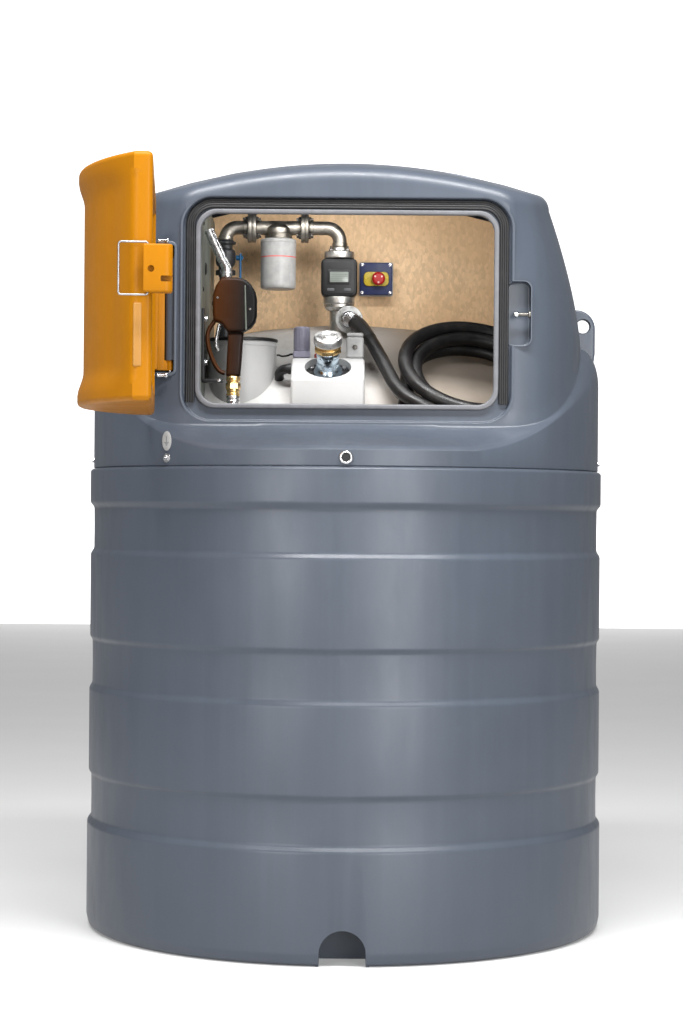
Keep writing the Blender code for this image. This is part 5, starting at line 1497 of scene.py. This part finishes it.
class TANK_OT_boards(bpy.types.Operator):
    """Finishes the board, the side panel and the inner tank, and builds the switch on the board"""
    bl_idname = "tank.boards"
    bl_label = "Boards and switch"

    def execute(self, context):
        repaint("mounting_board", "chipboard")
        repaint("side_panel", "streaked_panel")
        repaint("inner_tank_floor", "milky_plastic")
        repaint("inner_tank_wall", "milky_plastic")
        self.inner_top()
        self.switch_box()
        self.switch_cover()
        self.stop_button()
        self.panel_details()
        return {"FINISHED"}

    def inner_top(self):
        """The inner tank's top, smoothed from its CAD shape."""
        mesh = bmesh.new()
        mesh.from_mesh(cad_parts["inner_tank_top"].data)
        bmesh.ops.remove_doubles(mesh, verts=mesh.verts, dist=0.00005)
        Shape(mesh).piece("inner_tank_crown", aged_and_shaded_plastic(), "natural_polyethylene", "inner_tank_top",
                          sharp=60)

    def button_bore(self):
        """The hole that the stop button's shaft goes through."""
        return Shape().rod(0.0087, 0.04, (STOP[0], 0.120, STOP[1]), BACK, 28)

    def switch_box(self):
        """The blue box with a pale rim and corner screws."""
        box = Shape().tablet((0.0305, 0.1190, 1.6070, 1.6950), 0.0055, 0.1765, 0.034, 0.002, 3)
        box.tablet((0.0325, 0.1170, 1.6090, 1.6930), 0.0050, 0.1505, 0.018, 0.0025, 3)
        box.carve(self.button_bore())
        blue = plastic("case_blue", (0.006, 0.014, 0.075), 0.42)
        box.piece("switch_case", blue, "blue_plastic", "switch_box")
        rim = Shape().tablet((0.0300, 0.1196, 1.6065, 1.6955), 0.0060, 0.1605, 0.0030, 0.0010, 2)
        rim.piece("switch_rim", "enamel_white", "white_paint")
        screws = Shape()
        washer = [(0.0032, 0.0008), (0.0042, 0.0008), (0.0042, 0), (0.0032, 0)]
        for x in (0.0385, 0.1110):
            for z in (1.6150, 1.6870):
                spot = (x, 0.1416, z)
                screws.turn([(0, 0.0012), (0.0024, 0.0009), (0.0030, 0.0)], spot, FRONT, 18)
                screws.turn(washer, spot, FRONT, 18, 0.0002, True)
        screws.piece("switch_screws", "bolt_steel", "bright_steel")

    def switch_cover(self):
        """The yellow cover under the button, with two screws."""
        cover = Shape().tablet((0.0425, 0.1075, 1.6315, 1.6685), 0.0120, 0.1368, 0.0058, 0.0018, 3, 8)
        cover.carve(self.button_bore())
        for x in (0.0470, 0.1035):
            cover.turn([(0, 0.0012), (0.0028, 0.0008), (0.0034, 0)], (x, 0.1341, 1.650), FRONT, 18)
        yellow = plastic("cover_yellow", (0.50, 0.36, 0.02), 0.36)
        cover.piece("switch_cover", yellow, "yellow_plastic", "switch_plate")

    def stop_button(self):
        """The red mushroom button with three pale marks."""
        x, z = STOP
        side = [(0.0115, 0.0338), (0.0160, 0.0312), (0.0174, 0.0275), (0.0172, 0.0235), (0.0150, 0.0220),
                (0.0080, 0.0218), (0.0080, 0)]
        knob = Shape().turn(side, (x, 0.146, z), FRONT, 48, 0.0009)
        red = plastic("knob_red", (0.38, 0.012, 0.012), 0.34)
        knob.piece("stop_knob", red, "red_plastic", "stop_button", body="button")
        marks = Shape()
        for a, b in circle(x, z, 0.010, 3, radians(30)):
            marks.turn([(0.0022, 0.0005), (0.0026, 0)], (a, 0.1124, b), FRONT, 14)
        pale = plastic("mark_pale", (0.80, 0.55, 0.52), 0.35)
        marks.piece("stop_knob_marks", pale, "red_plastic", body="button")

    def panel_details(self):
        """The round grommet and the screws on the side panel."""
        x = PANEL_FACE + 0.0001
        shape = Shape()
        shape.turn([(0.011, 0.004), (0.015, 0.002), (0.016, 0)], (x, -0.215, 1.638), RIGHT, 28, 0.0008)
        for y in (-0.30, 0.10):
            for z in (1.74, 1.58):
                shape.turn([(0, 0.0024), (0.003, 0.0022), (0.0055, 0.0010), (0.006, 0)], (x, y, z), RIGHT, 18)
        shape.piece("panel_grommet", "case_black", "black_plastic")


class TANK_OT_tank_fittings(bpy.types.Operator):
    """Builds the inspection neck, the filler, the gauge, the junction box and the lines between them"""
    bl_idname = "tank.tank_fittings"
    bl_label = "Tank fittings"

    def execute(self, context):
        self.inspection_neck()
        self.filler_block()
        self.filler_neck()
        self.filler_cap()
        self.gauge()
        self.junction()
        self.lines()
        return {"FINISHED"}

    def inspection_neck(self):
        """The white inspection drum and its thin black lid."""
        drum = Shape().turn([(0.0825, 1.4618), (0.0850, 1.4590), (0.0850, 1.4500), (0.0838, 1.4490),
                             (0.0838, 1.305)], DRUM, steps=80, soft=0.0012)
        drum.piece("inspection_drum", "milky_plastic", "natural_polyethylene", "inspection_neck")
        lid = Shape().turn([(0.0825, 1.4698), (0.0845, 1.4690), (0.0876, 1.4682), (0.0878, 1.4622)], DRUM,
                           steps=80, soft=0.0008)
        lid.piece("inspection_lid", "case_black", "black_plastic", "inspection_cap")

    def filler_block(self):
        """The moulded filler block with its round well, its foot left in the tank's top, and a black ring of
        painted shade on the well's floor.
        """
        side = [(-0.310, 1.230), (-0.170, 1.230), (-0.170, 1.421), (-0.215, 1.421), (-0.310, 1.3662)]
        shape = Shape().plate(side, 0.180, (FILLER_FOOT.x, 0, 0), "X")
        bevel(shape.mesh, creases(shape.mesh, 20), 0.008, 4, True)
        shape.carve(Shape().turn([(0.058, 0.10), (0.057, 0.0)], FILLER_FOOT, FILLER_AXIS, 64))
        shape.piece("filler_pedestal", "milky_plastic", "natural_polyethylene", "filler_block", sharp=30)
        # painted shade: a black ring covers the well's floor round the neck
        well_shade_ring = [(0.0345, 0.0016), (0.0555, 0.0016), (0.0568, 0.0005), (0.0568, 0.0), (0.0345, 0.0)]
        well_shade_ring = Shape().turn(well_shade_ring, FILLER_FOOT + FILLER_AXIS * 0.0002, FILLER_AXIS, 56, 0.0003, True)
        well_shade_ring.piece("well_floor_painted_shade", "seal_rubber", "black_rubber")

    def filler_neck(self):
        """The flared steel neck with the studs at its foot."""
        foot = FILLER_FOOT + FILLER_AXIS * 0.0003
        neck = Shape().turn([(0.0285, 0.0638), (0.0285, 0.0520), (0.0272, 0.0500), (0.0272, 0.0330),
                             (0.0300, 0.0200), (0.0355, 0.0080), (0.0360, 0.0050), (0.0360, 0)],
                            foot, FILLER_AXIS, 64, 0.0015)
        blued = metal("blued_steel", (0.50, 0.60, 0.68), 0.16, 0.35, 55,
                      dirt=(0.10, 0.14, 0.17), dirt_from=0.58)
        neck.piece("filler_throat", blued, "bright_steel", "filler_neck")
        studs = Shape()
        studs.bolts_round(foot + FILLER_AXIS * 0.0014, FILLER_AXIS, 0.0455, 6, 0.0105, 0.0070, radians(30))
        studs.piece("filler_studs", "bolt_steel", "bright_steel")

    def filler_cap(self):
        """The eight-sided brass ring and the ribbed aluminium cap."""
        foot = FILLER_FOOT + FILLER_AXIS * 0.0003
        seat = aimed(foot, FILLER_AXIS)
        ring = Shape()
        ring.plate(circle(0, 0, 0.0345, 8, radians(22.5)), 0.0125, (0, 0, 0.0710), "Z", 0.0016, 3, seat)
        ring.turn([(0.0295, 0.0838), (0.0300, 0.0770)], foot, FILLER_AXIS, 48, 0.0008)
        ring.piece("brass_ring", "worn_brass", "brass", "filler_ring")
        top = 0.1058
        rings = [(0.0060, top), (0.0066, top - 0.0012), (0.0094, top - 0.0012), (0.0100, top)]
        for r in (0.0130, 0.0200):
            rings += [(r, top), (r + 0.0008, top - 0.0014), (r + 0.0034, top - 0.0014), (r + 0.0042, top)]
        rings += [(0.0300, top), (0.0338, 0.1038), (0.0350, 0.1005), (0.0350, 0.0865), (0.0340, 0.0843)]
        cap = Shape().turn(rings, foot, FILLER_AXIS, 72, 0.0004)
        for x, y in circle(0, 0, 0.0346, 24):
            start = seat @ Vector((x, y, 0.0880))
            end = seat @ Vector((x, y, 0.0985))
            cap.pipe([start, (start + end) / 2, end], 0.00076, 6)
        cap.piece("filler_lid", "soft_aluminium", "aluminium", "filler_cap", body="cap")

    def gauge(self):
        """The level gauge: square foot, ribbed lilac cap and a small red tell-tale."""
        x, y = GAUGE
        lilac = plastic("gauge_lilac", (0.23, 0.225, 0.29), 0.34)
        foot = Shape().block((x - 0.021, y - 0.021, 1.4214), (x + 0.021, y + 0.021, 1.4378), 0.0035, 3)
        foot.turn([(0.0200, 0.0030), (0.0205, 0)], (x, y, 1.4350), steps=40)
        foot.piece("gauge_foot", lilac, "lilac_plastic", "gauge_base")
        cap = Shape().turn([(0.0150, 1.4988), (0.0188, 1.4965), (0.0198, 1.4925), (0.0200, 1.4440),
                            (0.0204, 1.4400), (0.0204, 1.4384)], (x, y, 0), steps=56, soft=0.0012)
        for a, b in circle(x, y, 0.0196, 18):
            cap.pipe([(a, b, 1.4440 + rise) for rise in (0, 0.022, 0.0445)], 0.0010, 6)
        cap.piece("gauge_dome", lilac, "lilac_plastic", "gauge_cap")
        side = [(0.005, 0.012), (0.0065, 0.010), (0.0065, 0)]
        tell = Shape().turn(side, (-0.074, -0.192, 1.4212), steps=28, soft=0.0008)
        tell.piece("gauge_telltale", plastic("telltale_red", (0.50, 0.12, 0.10), 0.35), "red_plastic")

    def junction(self):
        """The white junction box with its lid, screws and dark gland."""
        box = Shape()
        box.block((-0.0015, -0.2125, 1.4214), (0.0415, -0.1705, 1.4740), 0.006, 4)
        box.block((-0.0008, -0.2118, 1.4745), (0.0408, -0.1712, 1.4838), 0.0042, 4)
        white = plastic("box_white", (0.38, 0.38, 0.377), 0.35)
        box.piece("junction_case", white, "white_paint", "junction_box")
        screws = Shape()
        for x in (0.0045, 0.0355):
            for y in (-0.2065, -0.1765):
                screws.turn([(0, 0.0010), (0.002, 0.0008), (0.0026, 0)], (x, y, 1.4837), steps=16)
        gland = [(0.0045, 0.010), (0.0060, 0.007), (0.0060, 0)]
        screws.turn(gland, (0.020, -0.2120, 1.448), FRONT, 24, 0.0008)
        screws.piece("junction_screws", "dark_steel", "bright_steel")

    def lines(self):
        """The breather hose and the gauge's thin cable."""
        start = Vector((-0.1363, -0.235, 1.392))
        route = [(0, 0, 0), (-0.010, 0, 0), (-0.022, 0.008, -0.003), (-0.029, 0.024, -0.010),
                 (-0.030, 0.046, -0.026)]
        tube = Shape().pipe(smooth_line([start + Vector(step) for step in route]), 0.0118, 24)
        collar = [(0.0119, 0), (0.0132, 0), (0.0132, 0.007), (0.0119, 0.007)]
        tube.turn(collar, start + Vector((-0.0004, 0, 0)), LEFT, 28, 0.0006, True)
        tube.piece("breather_line", "seal_rubber", "black_rubber", "breather_hose")
        cable = [(-0.1737, -0.165, 1.430), (-0.168, -0.165, 1.430), (-0.160, -0.172, 1.427),
                 (-0.146, -0.186, 1.428), (-0.139, -0.188, 1.431), (-0.1335, -0.188, 1.431)]
        wire = Shape().pipe(smooth_line(cable, 0.002), 0.0024, 12)
        wire.piece("gauge_cable", "seal_rubber", "black_rubber", "sensor_cable")


def in_nozzle(points):
    """Points of the nozzle's middle plane, given as (x, height)."""
    return [(x, NOZZLE_Y, z) for x, z in points]


class TANK_OT_nozzle(bpy.types.Operator):
    """Builds the dispensing nozzle and its holder"""
    bl_idname = "tank.nozzle"
    bl_label = "Nozzle"

    def execute(self, context):
        black = nozzle_plastic()
        self.spout()
        self.body(black)
        self.grip(black)
        self.guard(black)
        self.trigger()
        self.swivel()
        self.hose_end()
        self.holder()
        return {"FINISHED"}

    def spout(self):
        """The bent spout with its bore and ring."""
        x = -0.291
        foot_z = 1.6055
        route = [(-0.335, 1.719), (-0.322, 1.690), (-0.303, 1.650), (x, 1.626), (x, foot_z)]
        line = smooth_line(in_nozzle(route))
        tube = Shape().pipe(line, 0.0118, 28)
        mouth = line[0] + (line[0] - line[1]).normalized() * 0.004
        tube.carve(Shape().pipe([mouth, line[0], line[1], line[3]], 0.0096, 24))
        ring = [(0.0125, 0.0125), (0.0130, 0.0110), (0.0130, 0)]
        tube.turn(ring, (x, NOZZLE_Y, foot_z), steps=36, soft=0.0008)
        tube.piece("spout_tube", "mottled_aluminium", "aluminium", "nozzle_spout")

    def body(self, black):
        """The valve body in its moulded guard, with its seam line painted pale as a highlight, and screws."""
        side = [(-0.302, 1.604), (-0.264, 1.604), (-0.245, 1.599), (-0.231, 1.587), (-0.221, 1.570),
                (-0.2175, 1.552), (-0.2175, 1.512), (-0.221, 1.497), (-0.232, 1.483), (-0.249, 1.4730),
                (-0.287, 1.4730), (-0.302, 1.4925), (-0.3215, 1.5005), (-0.3235, 1.520), (-0.3235, 1.560),
                (-0.316, 1.585)]
        thickness = 0.0476
        shape = Shape().plate(side, thickness, (0, NOZZLE_Y, 0), "Y", 0.0085, 5)
        shape.piece("nozzle_valve", black, "black_plastic", "nozzle_body", sharp=45)
        # painted highlight: a pale grey-green line down the seam
        seam = [(-0.2470, 1.5850), (-0.2440, 1.5850), (-0.2420, 1.5250), (-0.2400, 1.4780), (-0.2445, 1.4780)]
        line = Shape().plate(seam, thickness + 0.0014, (0, NOZZLE_Y, 0), "Y", 0.0010, 2)
        line.piece("nozzle_seam", plastic("seam_painted_highlight", (0.075, 0.085, 0.070), 0.4), "black_plastic")
        screws = Shape()
        for x, z in ((-0.2335, 1.5275), (-0.3115, 1.5545)):
            foot = (x, NOZZLE_Y - thickness / 2, z)
            screws.turn([(0, 0.0012), (0.0026, 0.0010), (0.0033, 0)], foot, FRONT, 20)
        screws.piece("nozzle_screws", "bolt_steel", "bright_steel")

    def grip(self, black):
        """The handle below the body."""
        outline = [(-0.2868, 1.4718), (-0.2492, 1.4718), (-0.2512, 1.440), (-0.2530, 1.410),
                   (-0.2562, 1.3680), (-0.2908, 1.3680), (-0.2895, 1.400), (-0.2878, 1.440)]
        handle = Shape().plate(outline, 0.0316, (0, NOZZLE_Y, 0), "Y", 0.0085, 5)
        handle.piece("nozzle_handle", black, "black_plastic", "nozzle_grip", sharp=45)

    def guard(self, black):
        """The bow that guards the trigger."""
        route = [(-0.3195, 1.4995), (-0.333, 1.478), (-0.336, 1.455), (-0.330, 1.425), (-0.318, 1.396),
                 (-0.306, 1.379), (-0.2935, 1.3745)]
        bow = Shape().pipe(smooth_line(in_nozzle(route)), 0.0056, 16).move(widened(NOZZLE_Y, 2.0))
        bow.piece("nozzle_bow", black, "black_plastic", "nozzle_guard")

    def trigger(self):
        """The bright trigger."""
        route = [(-0.3075, 1.4924), (-0.3125, 1.468), (-0.3150, 1.450), (-0.3135, 1.436), (-0.3100, 1.428)]
        blade = Shape().pipe(smooth_line(in_nozzle(route)), lambda t: 0.0048 - 0.0008 * t, 16)
        blade.move(widened(NOZZLE_Y, 1.8))
        blade.piece("trigger_blade", "mottled_aluminium", "aluminium", "nozzle_trigger", body="trigger")

    def swivel(self):
        """The brass swivel with its hexagon."""
        brass = Shape()
        brass.turn([(0.0150, 1.3672), (0.0172, 1.3640), (0.0172, 1.3560), (0.0150, 1.3545), (0.0150, 1.3510)],
                   SWIVEL, steps=40, soft=0.0007)
        hexagon = circle(SWIVEL[0], SWIVEL[1], 0.0183, 6, radians(10))
        brass.plate(hexagon, 0.0150, (0, 0, 1.3430), "Z", 0.0014, 3)
        brass.turn([(0.0160, 1.3360), (0.0160, 1.3300), (0.0146, 1.3290), (0.0146, 1.3260), (0.0164, 1.3250),
                    (0.0164, 1.3200)], SWIVEL, steps=40, soft=0.0006)
        brass.piece("brass_swivel", "worn_brass", "brass", "nozzle_swivel")

    def hose_end(self):
        """The crimped steel end of the hose."""
        points = [(0.0160, 1.3195)]
        for i in range(3):
            z = 1.3160 - i * 0.0078
            points += [(0.0172, z), (0.0172, z - 0.0036), (0.0158, z - 0.0046), (0.0158, z - 0.0066)]
        points += [(0.0172, 1.2921)]
        crimp = Shape().turn(points, SWIVEL, steps=40, soft=0.0006)
        crimp.piece("hose_crimp", "bolt_steel", "bright_steel")

    def holder(self):
        """The bent plate that the nozzle hangs in, with its bolts."""
        front = NOZZLE_Y - 0.0148
        back = NOZZLE_Y + 0.0248
        foot = 1.3522
        plate = Shape().block((-0.3496, front, foot), (-0.3432, back, 1.530), 0.0014, 3)
        plate.block((-0.3480, front, foot), (-0.2984, back, foot + 0.0076), 0.0014, 3)
        plate.piece("nozzle_rest", "case_black", "black_plastic", "nozzle_holder")
        bolts = Shape().bolt((-0.3075, front, 1.3560), FRONT, 0.0066, 0.003, False)
        for z in (1.400, 1.505):
            bolts.bolt((-0.3430, NOZZLE_Y + 0.010, z), RIGHT, 0.010, 0.005)
        bolts.piece("rest_bolts", "bolt_steel", "bright_steel")


class TANK_OT_finishes(bpy.types.Operator):
    """Makes the finishes that several pieces share"""
    bl_idname = "tank.finishes"
    bl_label = "Finishes"

    def execute(self, context):
        look = context.scene.tank_look
        slate(look)
        moulded("orange_plastic", tuple(look.door_colour), 0.40, 0.05, 0.0002, 4.0, 0.25)
        # a paler orange for the strip on the door's edge: a painted highlight
        moulded("orange_painted_highlight", (0.34, 0.17, 0.045), 0.30, 0.04)
        natural()
        board(look)
        panel_paint()
        rubber("seal_rubber", (0.010, 0.010, 0.011), 0.42)
        plastic("case_black", (0.006, 0.006, 0.0065), 0.42)
        # painted light: the lip's grey is lighter than the hood's own
        plastic("lip_grey_painted_light", (0.110, 0.112, 0.121), 0.42)
        plastic("tag_white", (0.32, 0.32, 0.317), 0.40)
        plastic("ink_grey", (0.10, 0.11, 0.12), 0.5)
        plastic("enamel_white", (0.36, 0.355, 0.345), 0.36, 0.1)
        self.metals()
        return {"FINISHED"}

    def metals(self):
        """The shared metals."""
        metal("bolt_steel", (0.60, 0.60, 0.61), 0.22, 0.2, 90, dirt=(0.16, 0.14, 0.12), dirt_from=0.62)
        metal("wire_steel", (0.30, 0.30, 0.31), 0.40, 0.2, 90)
        metal("vent_steel", (0.66, 0.66, 0.66), 0.25, 0.2, 90)
        metal("dark_steel", (0.16, 0.15, 0.135), 0.34, 0.3, 90, dirt=(0.05, 0.04, 0.035), dirt_from=0.5)
        metal("cast_aluminium", (0.60, 0.58, 0.54), 0.38, 0.25, 50, 0.0006, dirt=(0.16, 0.14, 0.11))
        metal("soft_aluminium", (0.74, 0.735, 0.72), 0.32, 0.15, 70)
        metal("mottled_aluminium", (0.74, 0.74, 0.74), 0.26, 0.35, 85, 0.0006, dirt=(0.20, 0.19, 0.18))
        metal("worn_brass", (0.72, 0.50, 0.22), 0.28, 0.25, 70, 0.0004,
              dirt=(0.22, 0.12, 0.05), dirt_from=0.58)


STEPS = ("stage", "finishes", "nozzle", "hose", "bund", "hood", "hood_fittings", "door", "boards", "pipework",
         "tank_fittings")
OPERATORS = (TANK_OT_stage, TANK_OT_finishes, TANK_OT_nozzle, TANK_OT_hose, TANK_OT_bund, TANK_OT_hood,
             TANK_OT_hood_fittings, TANK_OT_door, TANK_OT_boards, TANK_OT_pipework, TANK_OT_tank_fittings)


class TANK_PT_panel(bpy.types.Panel):
    """Lists the steps that build the tank"""
    bl_idname = "TANK_PT_panel"
    bl_label = "Diesel tank"
    bl_space_type = "VIEW_3D"
    bl_region_type = "UI"
    bl_category = "Tank"

    def draw(self, context):
        for operator in OPERATORS:
            self.layout.operator(operator.bl_idname)
        for look in (context.scene.tank_look, context.scene.hose_look, context.scene.stage_look):
            for name in look.bl_rna.properties.keys():
                if name not in ("rna_type", "name"):
                    self.layout.prop(look, name)


CLASSES = (TankLook, HoseLook, StageLook) + OPERATORS + (TANK_PT_panel,)


def register():
    for kind in CLASSES:
        bpy.utils.register_class(kind)
    bpy.types.Scene.tank_look = bpy.props.PointerProperty(type=TankLook)
    bpy.types.Scene.hose_look = bpy.props.PointerProperty(type=HoseLook)
    bpy.types.Scene.stage_look = bpy.props.PointerProperty(type=StageLook)


def unregister():
    del bpy.types.Scene.stage_look
    del bpy.types.Scene.hose_look
    del bpy.types.Scene.tank_look
    for kind in reversed(CLASSES):
        bpy.utils.unregister_class(kind)


def main():
    register()
    for step in STEPS:
        getattr(bpy.ops.tank, step)()


if __name__ == "__main__":
    main()
